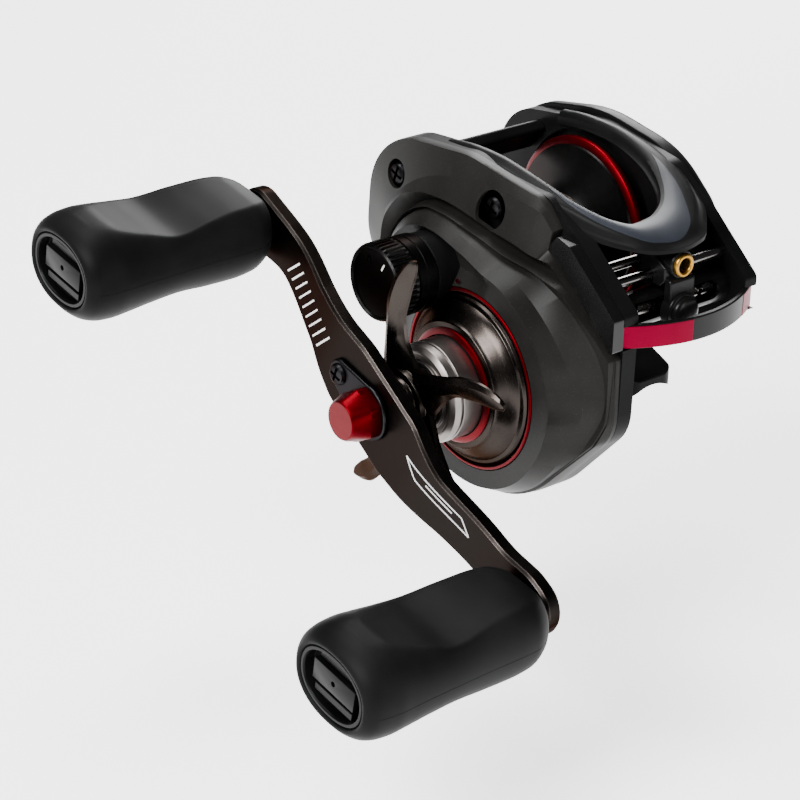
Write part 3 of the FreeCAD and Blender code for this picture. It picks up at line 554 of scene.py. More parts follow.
# Ridges of the cover, each a ring round the drive axis: rows of angle, radius, x.
INNER_CREST = [(0, 26.0, -26.2), (25, 31.0, -26.4), (44, 32.4, -26.8), (56, 31.5, -27.0),
               (65, 29.2, -27.0), (80, 25.2, -27.0), (99, 22.7, -27.0), (127, 22.8, -27.0),
               (154, 22.5, -27.0), (173, 23.0, -27.0), (193, 22.3, -27.0), (225, 21.9, -27.0),
               (270, 21.9, -27.0), (310, 22.0, -27.0), (340, 23.2, -26.6)]
OUTER_CREST = [(0, 28.5, -23.6), (25, 33.2, -24.0), (44, 34.4, -24.4), (56, 33.4, -24.6),
               (65, 31.0, -24.7), (80, 27.0, -24.8), (99, 24.0, -24.4), (127, 23.9, -23.6),
               (154, 25.0, -23.2), (173, 27.6, -22.8), (193, 25.0, -23.0), (225, 23.7, -23.2),
               (270, 23.6, -23.4), (310, 23.6, -23.4), (340, 25.2, -23.4)]
LIGHT_RIDGE = [(0, 30.5, -22.6), (25, 34.6, -23.2), (44, 35.4, -23.6), (56, 34.3, -23.8),
               (65, 31.9, -23.8), (80, 28.2, -23.6), (99, 26.2, -23.0), (116, 27.4, -22.0),
               (141, 31.6, -20.6), (157, 33.2, -19.6), (173, 31.4, -19.4), (193, 28.0, -20.6),
               (225, 24.4, -22.0), (270, 24.4, -22.4), (310, 24.4, -22.4), (340, 26.6, -22.6)]
UPPER_RIDGE = [(0, 31.5, -21.8), (25, 37.0, -22.6), (37, 39.0, -23.0), (46, 38.9, -23.2),
               (55, 37.4, -23.3), (65, 34.8, -23.3), (79, 31.2, -23.0), (90, 29.4, -22.6),
               (106, 29.0, -21.6), (125, 32.4, -20.2), (141, 34.6, -19.0), (157, 35.0, -18.4),
               (173, 31.9, -18.8), (193, 28.4, -20.2), (225, 24.5, -21.8), (270, 24.5, -22.2),
               (310, 24.5, -22.2), (340, 27.2, -22.2)]
BROW = [(0, 32.5, -20.6), (25, 38.6, -21.4), (37, 40.6, -21.4), (46, 40.5, -21.2),
        (55, 39.9, -21.0), (66, 38.5, -20.8), (83, 36.9, -20.6), (95, 37.0, -20.4),
        (110, 37.4, -19.6), (125, 35.2, -18.8), (141, 35.4, -18.4), (157, 35.4, -18.0),
        (173, 32.0, -18.5), (193, 28.5, -20.0), (225, 24.55, -21.6), (270, 24.55, -22.0),
        (310, 24.55, -22.0), (340, 27.6, -21.6)]


def make_gear_cover():
    """The cover as rings round the drive axis, from the drag opening out to the rim."""
    outline = rounded(COVER_OUTLINE, 4)
    turns = 360
    steps = [360.0 * k / turns for k in range(turns)]
    rim = [outline_radius(outline, DRIVE, a) for a in steps]

    def ring_of(table):
        reach = round_table([(a, r) for a, r, _ in table])
        level = round_table([(a, x) for a, _, x in table])
        return ([along_table(reach, a) for a in steps], [along_table(level, a) for a in steps])

    inner, outer, light, upper, brow = map(
        ring_of, (INNER_CREST, OUTER_CREST, LIGHT_RIDGE, UPPER_RIDGE, BROW))
    pocket_r, pocket_x, valley_r, valley_x, dip_r, dip_x = [], [], [], [], [], []
    for k, a in enumerate(steps):
        near_cap = smooth_step(a, 0, 30) * (1 - smooth_step(a, 82, 104))
        pocket_r.append(inner[0][k] - 0.9 - 1.0 * near_cap)
        pocket_x.append(inner[1][k] + 0.05 + 2.0 * near_cap)
        top = smooth_step(a, 5, 35) * (1 - smooth_step(a, 100, 150))
        valley_r.append(light[0][k] * 0.72 + upper[0][k] * 0.28)
        valley_x.append(max(light[1][k], upper[1][k]) + 2.8 * top)
        dip_r.append(outer[0][k] * 0.35 + light[0][k] * 0.65)
        dip_x.append(max(outer[1][k], light[1][k]) + 1.5 * top)

    def held(radii, gap):
        return [min(r, rim[k] - gap) for k, r in enumerate(radii)]

    def flat(radius, x):
        return ([radius] * turns, [x] * turns)

    lip_r, lip_x = 18.35, -26.95
    deep = [lip_r + (r - lip_r) * 0.5 for r in pocket_r]
    deep_x = [lip_x + (x - lip_x) * 1.1 for x in pocket_x]
    levels = [flat(18.3, -24.6), flat(18.3, -26.9), (deep, deep_x), (pocket_r, pocket_x),
              inner, (held(outer[0], 0.9), outer[1]), (held(dip_r, 0.75), dip_x),
              (held(light[0], 0.65), light[1]),
              (held(valley_r, 0.5), valley_x), (held(upper[0], 0.4), upper[1]),
              (held(brow[0], 0.25), brow[1]),
              ([r - 0.1 for r in rim], [min(-18.2, x + 1.6) for x in brow[1]]),
              (rim, [min(-17.9, x + 2.2) for x in brow[1]]),
              (rim, [PLATE_OUT + 0.02] * turns),
              ([r - 2.0 for r in rim], [PLATE_OUT + 0.02] * turns)]
    rings = []
    for radii, xs in levels:
        rings.append([(xs[k], *polar(DRIVE, radii[k], steps[k])) for k in range(turns)])
    cover = loft("gear_cover_skin", rings, cap_start=False, cap_end=False, node="gear_cover",
                 bevel=0.18, bevel_angle=12, smooth=None)
    solid = cover.modifiers.new("wall", "SOLIDIFY")
    solid.thickness = 0.9 * MM
    solid.offset = -1
    cover.modifiers.move(1, 0)
    holes = [round_cutter(centre, radius, -30, end) for centre, radius, end in (
        ((-6.8, 41.5), 3.7, -19.6), ((22.8, 39.2), 2.9, -18.8),
        ((25.0, 21.0), 2.9, -19.6), (SPOOL, 5.5, -20))]
    cut(cover, holes, 15)


make_gear_cover()
lathe("cap_collar", [(-30.1, 4.1), (-30.1, 6.9), (-29.8, 7.25), (-22.0, 7.3), (-22.0, 4.1)], SPOOL,
      slot="cover_black", body="frame", bevel=0.06)

# ------ screws


def cross_screw(name, x_face, x_end, centre, radius, **options):
    """Pan head seen from -X, with a cross recess."""
    head = lathe(name, [(x_end, 0.05), (x_end, radius), (x_face + 0.35 * radius, radius),
                        (x_face + 0.12 * radius, radius * 0.86), (x_face, radius * 0.6),
                        (x_face, 0.05)], centre, segments=48, smooth=None,
                 **options)
    arms = []
    for turn in (20, 110):
        along, across = radius * 0.72, radius * 0.15
        corners = [(along, across), (-along, across), (-along, -across), (along, -across)]
        outline = [turned(centre, turn, a, b) for a, b in corners]
        arms.append(cutter("cross", [[(x, y, z) for y, z in outline]
                                     for x in (x_face - 1, x_face + 0.3 * radius)]))
    cut(head, arms, 30)


cross_screw("cover_screw_deep", -20.9, -17.1, (-5.9, 41.3), 2.25, node="cover_screws")
cross_screw("cover_screw_tail", -20.6, -17.1, (23.0, 39.0), 2.25, slot="black_steel", body="frame")
cross_screw("cover_screw_rear", -20.6, -17.1, (25.0, 21.0), 2.25, slot="black_steel", body="frame")

# ------ drag side

lathe("ring_large", [(-25.5, 17.0), (-25.5, 18.1), (-26.95, 18.1), (-27.15, 17.95), (-27.15, 17.55),
                     (-27.0, 17.42)], DRIVE, segments=160, node="outer_ring", bevel=0.05)
lathe("ring_small", [(-31.9, 10.1), (-31.2, 10.1), (-31.2, 11.4), (-31.55, 11.4), (-31.85, 10.9)],
      DRIVE, segments=128, node="inner_ring", bevel=0.04)
lathe("dish", [(-25.4, 10.1), (-25.4, 16.9), (-26.9, 16.95), (-27.5, 16.55), (-27.75, 15.9),
               (-28.0, 15.8), (-29.3, 14.5), (-30.3, 13.15), (-30.75, 12.75), (-31.05, 12.62),
               (-31.2, 12.4), (-31.2, 10.1)], DRIVE, segments=160, node="drag_dish", bevel=0.08)
lathe("housing", [(-24.9, 6.2), (-24.9, 9.75), (-31.0, 9.75), (-31.3, 9.9), (-36.2, 9.9),
                  (-36.35, 9.78), (-36.35, 9.5), (-36.75, 9.5), (-36.75, 9.78), (-36.9, 9.9),
                  (-38.2, 9.65), (-38.95, 8.75), (-39.0, 8.4), (-38.9, 8.2), (-38.3, 7.9),
                  (-38.3, 6.9), (-38.9, 6.7), (-38.9, 4.6), (-37.6, 4.6), (-37.6, 6.2)],
      DRIVE, segments=160, node="clutch_housing", bevel=0.05)


def make_cast_cap():
    """Cup with a ribbed band behind its face and a smooth collar behind the band."""
    profile = [(-30.2, 5.2), (-30.2, 7.3), (-30.5, 7.6), (-32.6, 7.66), (-32.7, 7.5), (-32.9, 7.5),
               (-33.0, 7.66), (-34.7, 7.72), (-34.8, 7.4), (-35.0, 7.4), (-35.2, 7.72),
               (-35.7, 7.74), (-38.9, 7.74), (-39.3, 7.74), (-39.9, 7.5), (-40.2, 7.2),
               (-40.2, 6.95), (-39.8, 6.7), (-39.75, 6.4), (-39.75, 0.05), (-37.7, 0.05),
               (-37.7, 5.2)]
    ribs, steps = 44, 8
    segments = ribs * steps
    rings = []
    for step in range(segments):
        angle = 2 * math.pi * step / segments
        valley = 1.0 if step % steps in (4, 5, 6) else (0.5 if step % steps in (3, 7) else 0.0)
        ring = []
        for x, r in profile:
            if -39.4 < x < -35.6 and r > 7:
                r = r - valley * (0.16 + 0.26 * (-35.6 - x) / 3.8)
            ring.append((x, SPOOL[0] + r * math.cos(angle), SPOOL[1] + r * math.sin(angle)))
        rings.append(ring)
    hoop("cap", rings, node="cast_cap", smooth=24)
    mark = polar(SPOOL, 4.6, 62)
    lathe("cap_mark", [(-39.9, 0.35), (-39.7, 0.35), (-39.7, 0.75), (-39.9, 0.75)], mark,
          segments=32, slot="gunmetal", body="cast_cap")
    line = [polar(SPOOL, 5.2, a) for a in (118, 122)] + [polar(SPOOL, 3.6, a) for a in (123, 117)]
    slab_x("cap_line", [Vector(p) for p in line], -39.82, -39.7, slot="white_mark", body="cast_cap")


make_cast_cap()

# ------ crank


def crank_point(along, across):
    return turned(DRIVE, CRANK_ANGLE, along, across)


ARM_DROP, ARM_BEND = 4.0, (13.0, 38.0)


def arm_shift(along):
    """How far the arm is bent towards the reel at a distance from the drive axis."""
    return ARM_DROP * smooth_step(abs(along), *ARM_BEND)


ARM_HALF = [(10.0, -8.2, 8), (20.0, -4.2, 12), (37.0, -3.2, 14), (45.0, -5.8, 9),
            (53.6, -6.0, 5.4), (53.6, 5.6, 5.4), (40.0, 6.8, 16), (25.0, 7.2, 14), (8.0, 9.2, 12)]
ARM_FACE, ARM_THICK = -51.0, 3.0


def edge_of(outline, along):
    """Lowest and highest 'across' of an outline at a distance along it."""
    hits = []
    for start, end in zip(outline, outline[1:] + outline[:1]):
        if (start.x - along) * (end.x - along) <= 0 and abs(start.x - end.x) > 1e-9:
            part = (along - start.x) / (end.x - start.x)
            hits.append(start.y + part * (end.y - start.y))
    return min(hits), max(hits)


def make_arm():
    outline = rounded(ARM_HALF + [(-a, -b, r) for a, b, r in ARM_HALF], 4)
    reach = max(point.x for point in outline)
    count = 150
    rings = []
    for step in range(count + 1):
        along = -reach * 0.9999 * math.cos(math.pi * step / count)
        low, high = edge_of(outline, along)
        middle, half = (low + high) / 2, max((high - low) / 2, 0.02)
        x = ARM_FACE + arm_shift(along)
        slim = min(0.55, half * 0.9)
        ring = []
        for across, depth in ((-half, 0.5), (-half + slim, 0.0), (half - slim, 0.0), (half, 0.5),
                              (half, ARM_THICK - 0.35), (half - 0.35 * slim, ARM_THICK),
                              (-half + 0.35 * slim, ARM_THICK), (-half, ARM_THICK - 0.35)):
            ring.append((x + depth, *crank_point(along, middle + across)))
        rings.append(ring)
    loft("arm", rings, node="crank_arm", smooth=22, bevel=0.12, bevel_angle=22)
    marks = []
    for tick in range(9):
        outer = crank_point(35.2 - 2.1 * tick, -1.0 - 0.2 * tick)
        inner = crank_point(33.1 - 2.1 * tick, 3.6 - 0.14 * tick)
        marks.append((outer, inner, 0.2))
    for start, end in (((-12.0, 1.6), (-27.5, 1.2)), ((-27.5, 1.2), (-30.5, -1.2)),
                       ((-30.5, -1.2), (-16.0, -0.8)), ((-16.0, -0.8), (-12.0, 1.6)),
                       ((-18.5, 0.5), (-25.5, 0.3))):
        marks.append((crank_point(*start), crank_point(*end), 0.17))
    for number, (start, end, half) in enumerate(marks):
        start, end = Vector(start), Vector(end)
        side = (end - start).orthogonal().normalized() * half
        pieces = 8
        rings = []
        for step in range(pieces + 1):
            spot = start.lerp(end, step / pieces)
            along = ((spot.x - DRIVE[0]) * math.cos(math.radians(CRANK_ANGLE))
                     + (spot.y - DRIVE[1]) * math.sin(math.radians(CRANK_ANGLE)))
            x = ARM_FACE + arm_shift(along)
            rings.append([(x + depth, *(spot + side * way)) for depth, way in
                          ((-0.03, -1), (-0.03, 1), (0.1, 1), (0.1, -1))])
        loft(f"arm_mark_{number}", rings, slot="white_mark", body="crank")


def make_retainer():
    """Teardrop plate under the nut, its edge turned down."""
    outline = []
    for step in range(41):
        a = math.radians(62 + 236 * step / 40)
        outline.append(crank_point(5.6 * math.cos(a), 5.6 * math.sin(a)))
    for step in range(21):
        a = math.radians(-62 + 124 * step / 20)
        outline.append(crank_point(9.6 + 2.9 * math.cos(a), 2.9 * math.sin(a)))
    outline = [Vector(p) for p in outline]
    slab_x("retainer", outline, ARM_FACE - 1.0, ARM_FACE + 0.02, node="nut_retainer", bevel=0.35,
           bevel_angle=40, segments=3)
    cross_screw("retainer_bolt", -53.0, -50.5, crank_point(9.6, 0.0), 2.15, node="retainer_screw")


def make_nut():
    """Hexagon nut whose outer end is turned to a cone with a flat round face."""
    profile = [(-51.95, 5.25), (-52.6, 5.5), (-54.3, 5.3), (-57.4, 4.05), (-57.9, 3.75),
               (-58.0, 3.6)]
    flats = 4.75
    rings = []
    segments = 120
    for x, limit in profile:
        ring = []
        for step in range(segments):
            a = 360 * step / segments
            off = (a - CRANK_ANGLE) % 60 - 30
            hexagon = flats / math.cos(math.radians(off))
            grow = 1.0 if x > -54.4 else 1.0 - 0.05 * (-54.4 - x)
            ring.append((x, *polar(DRIVE, min(hexagon * grow, limit), a)))
        rings.append(ring)
    loft("nut", rings, node="handle_nut", smooth=18, bevel=0.06, bevel_angle=18)


make_arm()
make_retainer()
make_nut()

# ------ knobs

# Stations of the knob: x, half widths along Y and Z, height of the scooped flat faces.
KNOB = [(-47.4, 5.2, 4.9, 4.9), (-48.2, 7.0, 6.2, 5.8), (-49.5, 8.6, 7.6, 6.6),
        (-53.0, 10.2, 9.0, 7.5), (-57.0, 10.5, 9.4, 7.6), (-63.0, 10.6, 9.3, 7.2),
        (-70.5, 10.9, 8.7, 6.3),
        (-77.0, 11.2, 9.2, 7.6), (-82.0, 11.5, 9.8, 8.9), (-85.0, 11.7, 10.0, 9.7),
        (-87.5, 11.6, 9.8, 9.8), (-89.6, 11.3, 9.1, 9.1), (-91.1, 10.5, 8.1, 8.1),
        (-91.75, 9.7, 7.4, 7.4)]
KNOB_TURN, KNOB_REACH, KNOB_POINTS = 9.0, 48.2, 120
KNOB_INNER, KNOB_OUTER = 47.4, 91.75
# Blocks in the end cap: name, outer x, limits along the knob's width and depth.
KNOB_BLOCKS = [("block", -91.15, -5.9, 5.6, -1.7, 2.5), ("rail", -90.9, -5.6, 4.9, -3.9, -2.5),
               ("step", -90.2, -5.0, 3.0, -5.2, -4.3), ("ledge", -90.3, -4.0, 5.0, 2.9, 4.3)]


def knob_table(column):
    return [(-row[0], row[column]) for row in KNOB]


def soft_limit(value, limit, blend):
    """The value held under a limit, rounded where the two meet."""
    h = max(0.0, min(1.0, 0.5 + 0.5 * (limit - value) / blend))
    return limit * (1 - h) + value * h - blend * h * (1 - h)


def knob_ring(x, half_y, half_z, height, centre, power=2.25):
    """Rounded oblong round the centre, its flat faces held under a height."""
    ring = []
    for step in range(KNOB_POINTS):
        a = 2 * math.pi * step / KNOB_POINTS
        c, s = math.cos(a), math.sin(a)
        y = half_y * math.copysign(abs(c) ** (2 / power), c)
        z = half_z * math.copysign(abs(s) ** (2 / power), s)
        z = math.copysign(soft_limit(abs(z), height, 0.4), z) if height < half_z - 1e-6 else z
        ring.append((x, *turned(centre, KNOB_TURN, y, z)))
    return ring


def make_knob(side, centre):
    wide, deep, flat = knob_table(1), knob_table(2), knob_table(3)
    rings = [knob_ring(-KNOB_INNER, 3.0, 2.9, 9, centre)]
    steps = 90
    for step in range(steps + 1):
        x = KNOB_INNER + (KNOB_OUTER - KNOB_INNER) * step / steps
        rings.append(knob_ring(-x, along_table(wide, x), along_table(deep, x),
                               along_table(flat, x), centre))
    for x, a, b in ((-91.85, 9.4, 7.1), (-91.75, 9.0, 6.7), (-91.5, 8.8, 6.5), (-88.3, 8.8, 6.5)):
        rings.append(knob_ring(x, a, b, 99, centre))
    loft("grip_" + side, rings, node="knob_" + side, smooth=40)
    # Mould seam along both narrow sides.
    for number, way in enumerate((1, -1)):
        vertices = []
        for step in range(61):
            x = 49.5 + (90.0 - 49.5) * step / 60
            reach = along_table(wide, x) + 0.035
            for dx, lift in ((-0.11, -0.2), (0.0, 0.0), (0.11, -0.2)):
                vertices.append((-x, *turned(centre, KNOB_TURN, way * (reach + lift), dx)))
        piece(f"seam_{side}_{number}", vertices, grid_faces(61, 3, closed_round=False),
              slot="knob_grip", body=side + "_knob")
    make_knob_cap(side, centre)


def make_knob_cap(side, centre):
    """Oval end cap: a rim, a recess, a raised block with a small hole and a rail beside it."""
    rings = [knob_ring(x, a, b, 99, centre, power=2.2) for x, a, b in (
        (-89.0, 8.75, 6.45), (-91.3, 8.75, 6.45), (-91.6, 8.55, 6.25), (-91.6, 8.0, 5.7),
        (-91.3, 7.8, 5.5), (-89.3, 7.75, 5.45))]
    loft("cap_rim_" + side, rings, cap_start=False, node="knob_cap_" + side,
         bevel=0.06)
    for part, x_low, y_low, y_high, z_low, z_high in KNOB_BLOCKS:
        corners = [(y_low, z_low), (y_high, z_low), (y_high, z_high), (y_low, z_high)]
        rings = [[(x, *turned(centre, KNOB_TURN, y, z)) for y, z in corners]
                 for x in (x_low, -88.6)]
        block = loft(f"cap_{part}_{side}", rings, slot="knob_cap", body=side + "_knob", bevel=0.12)
        if part == "block":
            hole = turned(centre, KNOB_TURN, 0.0, 0.4)
            cut(block, [round_cutter(hole, 0.55, -92.5, -90.2, 24)])


make_knob("rear", crank_point(KNOB_REACH, 0))
make_knob("front", crank_point(-KNOB_REACH, 0))

# ------ star drag

# Arm of the star: reach, half width, x of its middle, thickness, twist in degrees.
STAR = [(4.0, 5.6, -42.3, 2.8, 0), (8.0, 4.3, -42.6, 2.6, 4), (12.0, 2.75, -42.75, 2.4, 10),
        (16.0, 2.2, -42.6, 2.1, 14), (20.0, 2.55, -42.3, 1.8, 14), (23.5, 2.5, -41.9, 1.5, 10),
        (26.0, 1.9, -41.5, 1.25, 6), (27.4, 1.15, -41.3, 1.0, 3), (28.0, 0.45, -41.2, 0.8, 2)]


STAR_ROOT, STAR_TIP = 4.0, 28.0


def make_star():
    tables = [[(row[0], row[column]) for row in STAR] for column in range(1, 5)]
    for arm in range(5):
        heading = 90 + 72 * arm
        rings = []
        steps = 40
        for step in range(steps + 1):
            reach = STAR_ROOT + (STAR_TIP - STAR_ROOT) * math.sin(math.pi / 2 * step / steps)
            half, x, thick, twist = (along_table(table, reach) for table in tables)
            lean = (heading - 14 * (1 - reach / STAR_TIP)
                    - 6.0 * math.sin(math.pi * reach / STAR_TIP))
            spot = polar(DRIVE, reach, lean)
            a, t = math.radians(lean), math.radians(twist)
            side = Vector((math.sin(t), -math.sin(a) * math.cos(t), math.cos(a) * math.cos(t)))
            deep = Vector((math.cos(t), math.sin(a) * math.sin(t), -math.cos(a) * math.sin(t)))
            centre = Vector((x, spot[0], spot[1]))
            ring = []
            for across, depth in ((-1.0, 0.12), (-0.94, -0.12), (-0.5, -0.5), (0.42, -0.42),
                                  (0.9, -0.1), (1.0, 0.16), (0.8, 0.42), (0, 0.5), (-0.8, 0.42)):
                ring.append(centre + side * (half * across) + deep * (thick * depth))
            rings.append(ring)
        loft(f"star_arm_{arm}", rings, slot="gunmetal", body="star", smooth=26)
    lathe("star_hub", [(-39.4, 2.6), (-39.4, 6.4), (-39.6, 6.6), (-41.2, 6.6), (-41.5, 6.9),
                       (-43.2, 6.9), (-43.6, 6.6), (-44.1, 6.3), (-44.2, 5.3), (-44.9, 5.1),
                       (-45.2, 4.8), (-45.2, 2.6)],
          DRIVE, segments=128, node="star_wheel", slot="gunmetal", bevel=0.08)


make_star()

# ------ hood


ROOF = [(-14.0, 47.4), (-6.0, 48.4), (0.0, 48.5), (8.0, 47.7), (16.0, 46.3), (22.0, 44.7),
        (28.0, 43.0), (34.0, 41.4), (39.0, 40.1)]


def roof(y):
    return along_table(ROOF, -y)


# The hood runs round the opening from the rear of the handle side to the rear of the
# palm side: inner edge (x, y), outer edge (x, y, z).
HOOD = [((-13.2, 13.5), (-16.9, 13.5, 46.2)), ((-13.2, 0.0), (-16.9, 0.0, 47.4)),
        ((-13.1, -10.0), (-16.9, -10.0, 46.3)), ((-12.6, -18.0), (-16.7, -17.5, 44.0)),
        ((-11.2, -23.5), (-15.2, -24.0, 41.0)), ((-9.2, -27.0), (-11.4, -31.5, 39.5)),
        ((-6.2, -28.9), (-6.6, -37.0, 39.1)), ((-2.0, -28.4), (-1.5, -38.4, 39.1)),
        ((2.4, -26.3), (4.2, -37.2, 39.2)), ((6.2, -22.6), (9.4, -33.0, 39.5)),
        ((9.2, -17.2), (13.8, -27.5, 40.6)), ((11.4, -11.0), (16.4, -20.0, 43.0)),
        ((12.6, -4.0), (16.9, -10.0, 45.6)), ((12.9, 4.0), (16.9, 2.0, 46.9)),
        ((12.9, 13.5), (16.9, 13.5, 46.0))]
HOOD_LAST = len(HOOD) - 1


def hood_row(place):
    """Inner and outer edge at a place along the hood, 0 to HOOD_LAST."""
    columns = []
    for edge, part in ((0, 0), (0, 1), (1, 0), (1, 1), (1, 2)):
        table = [(i, row[edge][part]) for i, row in enumerate(HOOD)]
        columns.append(along_table(table, place))
    return Vector(columns[:2]), Vector(columns[2:])


def hood_point(place, part, lift=0.0):
    inner, outer = hood_row(place)
    spot = inner.lerp(outer.xy, part)
    crown = 0.55 * math.sin(math.pi * min(1, part / 0.8))
    drop = smooth_step(part, 0.76, 1.0)
    top = roof(spot.y) + crown
    return (spot.x, spot.y, top * (1 - drop) + (outer.z + 0.9) * drop + lift)


def make_hood():
    rings = []
    steps = HOOD_LAST * 10
    for step in range(steps + 1):
        place = HOOD_LAST * step / steps
        inner, outer = hood_row(place)
        edge = roof(inner.y)
        ring = [(inner.x, inner.y, edge - 2.1), (inner.x, inner.y, edge - 0.7),
                (*inner.lerp(outer.xy, 0.05), edge - 0.12)]
        ring += [hood_point(place, part) for part in
                 (0.14, 0.28, 0.42, 0.56, 0.70, 0.78, 0.84, 0.90, 0.95)]
        ring += [(outer.x, outer.y, outer.z + 0.75), (outer.x, outer.y, outer.z)]
        near = inner.lerp(outer.xy, 0.8)
        ring += [(*near, min(outer.z + 0.3, roof(near.y) - 1.2)),
                 (*inner.lerp(outer.xy, 0.35), roof(inner.lerp(outer.xy, 0.35).y) - 1.3)]
        rings.append(ring)
    loft("hood_shell", rings, node="hood", smooth=38)


PANEL_IN = [(2.6, 0.42), (4.0, 0.20), (5.5, 0.13), (7.5, 0.11), (9.5, 0.15), (11.0, 0.28)]
PANEL_OUT = [(2.6, 0.46), (3.6, 0.62), (4.6, 0.72), (6.0, 0.80), (7.0, 0.82), (8.0, 0.72),
             (9.0, 0.56), (10.2, 0.40), (11.0, 0.30)]


def make_panel():
    rings = []
    steps = 90
    for step in range(steps + 1):
        place = 2.6 + (11.0 - 2.6) * step / steps
        low, high = along_table(PANEL_IN, place), along_table(PANEL_OUT, place)
        ring = [hood_point(place, low + (high - low) * k / 8, 0.05) for k in range(9)]
        ring += [hood_point(place, low + (high - low) * k / 8, -0.3) for k in range(8, -1, -1)]
        rings.append(ring)
    loft("slate", rings, node="hood_panel", smooth=30)


make_hood()
make_panel()

# ------ front bar and level wind


BAR_ENDS_Y, BAR_BOW, BAR_HALF = -38.6, 5.6, 17.0


def bow(x):
    """Y of the bar's front face."""
    return BAR_ENDS_Y - BAR_BOW * (1 - (x / BAR_HALF) ** 2)


def bar_length(name, x_low, x_high, front, back, low, high, **options):
    rings = []
    steps = 28
    for step in range(steps + 1):
        x = x_low + (x_high - x_low) * step / steps
        rings.append([(x, bow(x) + front, low), (x, bow(x) + front, high),
                      (x, bow(x) + back, high), (x, bow(x) + back, low)])
    loft(name, rings, **options)


bar_length("bar", -17.0, 17.0, 0.0, 1.2, 23.4, 28.2, node="front_bar", bevel=0.25, bevel_angle=50)
bar_length("inlay_handle_side", -17.02, -3.4, -0.07, 0.3, 23.55, 27.95, node="bar_inlays",
           bevel=0.06, bevel_angle=50)
bar_length("inlay_palm_side", 12.2, 17.02, -0.07, 0.3, 23.55, 27.95, slot="red_inlay",
           body="frame", bevel=0.06, bevel_angle=50)

for place, radius, centre in (("upper", 1.0, UPPER_BAR), ("lower", 1.1, LOWER_BAR)):
    lathe("bar_" + place, [(PLATE_IN, 0.02), (PLATE_IN, radius), (PALM_IN, radius),
                           (PALM_IN, 0.02)], centre, segments=40, node=place + "_bar")


def make_worm():
    """Worm with crossed grooves of both hands."""
    length, turns, depth = (-13.4, 13.8), 5.5, 0.75
    steps, segments = 360, 72
    rings = [[(length[0], *WORM)] * segments]
    for step in range(steps + 1):
        x = length[0] + (length[1] - length[0]) * step / steps
        wind = turns * 2 * math.pi * (x + 11.4) / 22.8
        ring = []
        for k in range(segments):
            a = 2 * math.pi * k / segments
            groove = 0.0
            if abs(x) < 11.6:
                for hand in (1, -1):
                    off = math.atan2(math.sin(a - hand * wind), math.cos(a - hand * wind))
                    groove = max(groove, 1 - smooth_step(abs(off), 0.42, 0.72))
            r = 2.1 - depth * groove
            ring.append((x, WORM[0] + r * math.cos(a), WORM[1] + r * math.sin(a)))
        rings.append(ring)
    rings.append([(length[1], *WORM)] * segments)
    loft("worm", rings, cap_start=False, cap_end=False, node="worm_shaft")


def make_tube():
    """Tube round the worm, with a long round-ended slot towards the front."""
    tube = lathe("tube", [(PLATE_IN, 2.7), (PLATE_IN, 3.5), (PALM_IN, 3.5), (PALM_IN, 2.7)], WORM,
                 node="worm_tube", smooth=None)
    half, left, right = 1.9, -11.4, 11.2
    outline = [(left + half + half * math.cos(a), half * math.sin(a)) for a in
               [math.pi / 2 + math.pi * k / 12 for k in range(13)]]
    outline += [(right - half + half * math.cos(a), half * math.sin(a)) for a in
                [-math.pi / 2 + math.pi * k / 12 for k in range(13)]]
    rings = [[(x, y, WORM[1] + 0.5 + z) for x, z in outline] for y in (WORM[0] - 6, WORM[0])]
    cut(tube, [cutter("slot", rings)], 30)
    edge = tube.modifiers.new("edges", "BEVEL")
    edge.width, edge.segments, edge.limit_method = 0.00012, 2, "ANGLE"
    edge.angle_limit = math.radians(50)


GUIDE_X, EYE_Z = EYELET[0], EYELET[2]


def turned_y(name, profile, z, **options):
    """Piece of the guide turned about a line along Y; profile rows are (y, radius)."""
    lathe(name, profile, (GUIDE_X, z), segments=72, axis="y", **options)


def make_guide():
    """Carriage: a barrel for the line, a block on the two bars and a front wall."""
    turned_y("barrel", [(-37.6, 2.34), (-37.6, 2.6), (-37.3, 2.8), (-30.6, 2.8), (-30.2, 2.6),
                        (-30.2, 1.9), (-36.2, 1.9), (-36.2, 2.34)], EYE_Z,
             slot="bar_black", body="guide", bevel=0.05)
    left, right = GUIDE_X - 3.4, GUIDE_X + 3.4
    side = [(-36.6, 33.2, 0.6), (-36.6, 35.6, 0.6), (-33.0, 37.6, 1.5), (-28.2, 36.6, 1.2),
            (-27.6, 33.4, 0.8), (-29.0, 31.6, 0.8), (-35.2, 31.6, 0.5)]
    slab_x("carriage_block", rounded(side), left, right, node="line_carriage", bevel=0.3)
    front = WORM[0] - 3.8
    wall = [(front, 24.4, 0.3), (front, 33.6, 0.3), (front - 1.9, 33.4, 0.8),
            (front - 1.9, 25.4, 1.2), (front - 0.9, 24.4, 0.4)]
    slab_x("carriage_wall", rounded(wall), left + 0.3, right - 0.3, slot="bar_black", body="guide",
           bevel=0.4)
    turned_y("pawl_holder", [(front, 0.02), (front, 3.7), (front - 2.2, 3.7), (front - 2.6, 3.3),
                             (front - 2.6, 0.02)], WORM[1], slot="bar_black", body="guide",
             bevel=0.08)
    cap = front - 2.6
    turned_y("pawl_button", [(cap, 0.02), (cap, 3.1), (cap - 0.5, 3.1), (cap - 0.95, 2.85),
                             (cap - 1.2, 2.3), (cap - 1.32, 1.2), (cap - 1.38, 0.02)],
             WORM[1], node="pawl_cap", smooth=50)
    eye = []
    for step in range(13):
        a = math.radians(90 + 180 * step / 12)
        eye.append((-37.95 + 0.55 * math.cos(a), 1.87 + 0.46 * math.sin(a)))
    eye += [(-36.3, 1.41), (-36.3, 2.33)]
    turned_y("eyelet", eye, EYE_Z, node="line_eyelet", smooth=50)


make_worm()
make_tube()
make_guide()

# ------ spool

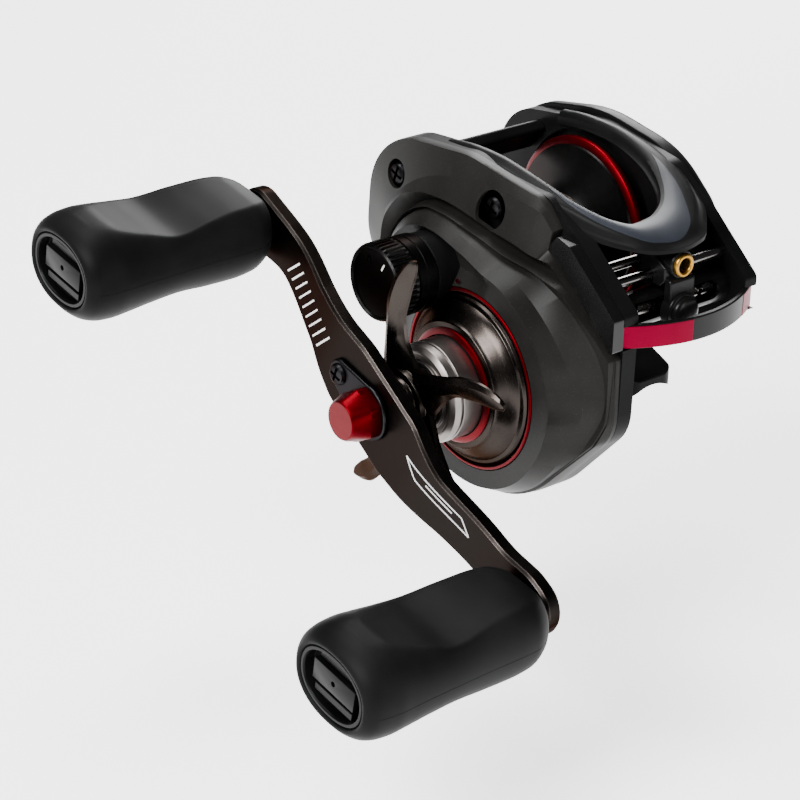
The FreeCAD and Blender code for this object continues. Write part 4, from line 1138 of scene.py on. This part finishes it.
lathe("spool_flanges", [(-13.0, 6.4), (-13.0, 16.8), (-12.95, 17.6), (-12.7, 17.8), (-12.1, 17.8),
                        (-11.5, 17.1), (-10.9, 16.2), (-9.2, 9.6), (-8.4, 7.6), (-8.0, 7.05),
                        (8.0, 7.05), (8.4, 7.6), (9.2, 9.6), (10.9, 16.2), (11.4, 16.3),
                        (12.2, 16.55), (13.0, 16.6), (13.0, 6.4)],
      SPOOL, segments=160, node="spool")
lathe("spool_rim", [(11.4, 16.2), (11.5, 17.0), (11.9, 17.65), (12.2, 17.8), (12.9, 17.8),
                    (13.0, 17.7), (13.0, 16.6), (12.2, 16.55)], SPOOL, segments=160,
      node="spool_ring", bevel=0.05)
lathe("spool_drum", [(-7.9, 7.0), (-7.9, 7.12), (7.9, 7.12), (7.9, 7.0)], SPOOL, segments=128,
      slot="gunmetal_bright", body="spool")


# ------ palm side


PALM = [(-24.0, 17.0, 6), (-6.0, 6.0, 10), (16.0, 6.0, 12), (32.0, 18.0, 10), (33.5, 30.0, 12),
        (28.5, 45.2, 16), (6.0, 50.0, 34), (-14.0, 47.4, 22), (-25.5, 38.0, 9), (-27.0, 24.0, 6)]


def make_palm_cover():
    outline = rounded(PALM, 5)
    middle = Vector((0.0, 28.0))
    rings = []
    for x, scale in ((17.15, 0.90), (17.15, 0.994), (17.35, 1.0), (19.2, 1.0), (20.4, 0.985),
                     (21.4, 0.95), (22.0, 0.925), (22.15, 0.915), (22.15, 0.90), (22.6, 0.865),
                     (23.2, 0.80), (23.5, 0.72), (23.55, 0.62)):
        rings.append([(x, *(middle + (p - middle) * scale)) for p in outline])
    cover = loft("palm_shell", rings, node="palm_cover", smooth=28, bevel=0.1, bevel_angle=28)
    cut(cover, [round_cutter(SPOOL, 10.7, 21.6, 26, 96)], 28)
    lathe("dial", [(21.75, 0.05), (21.75, 10.2), (23.6, 10.3), (24.2, 10.1), (24.6, 9.6),
                   (24.7, 9.1), (24.35, 8.8), (24.35, 6.6), (24.7, 6.3), (25.1, 5.6), (25.25, 4.0),
                   (25.25, 0.05)], SPOOL, segments=128, node="brake_dial", bevel=0.08)
    for number in range(10):
        a = 45 + 270 * number / 9
        inner, outer = polar(SPOOL, 7.3, a), polar(SPOOL, 8.5, a)
        side = Vector(polar((0, 0), 0.14, a + 90))
        line = [Vector(inner) - side, Vector(inner) + side,
                Vector(outer) + side, Vector(outer) - side]
        slab_x(f"dial_mark_{number}", line, 24.25, 24.42, slot="white_mark", body="brake_dial")
    grip = [Vector(polar(SPOOL, 6.0, a)) for a in (12, 168, 192, 348)]
    slab_x("dial_bar", grip, 25.0, 25.22, slot="cap_black", body="brake_dial", bevel=0.1)


make_palm_cover()

# ------ camera, stage, carried nodes

make_camera()
make_studio()
for node, thing in frame["nodes"].items():
    thing.data.materials.clear()
    thing.data.materials.append(MATERIALS[NODE_SLOT[node]])
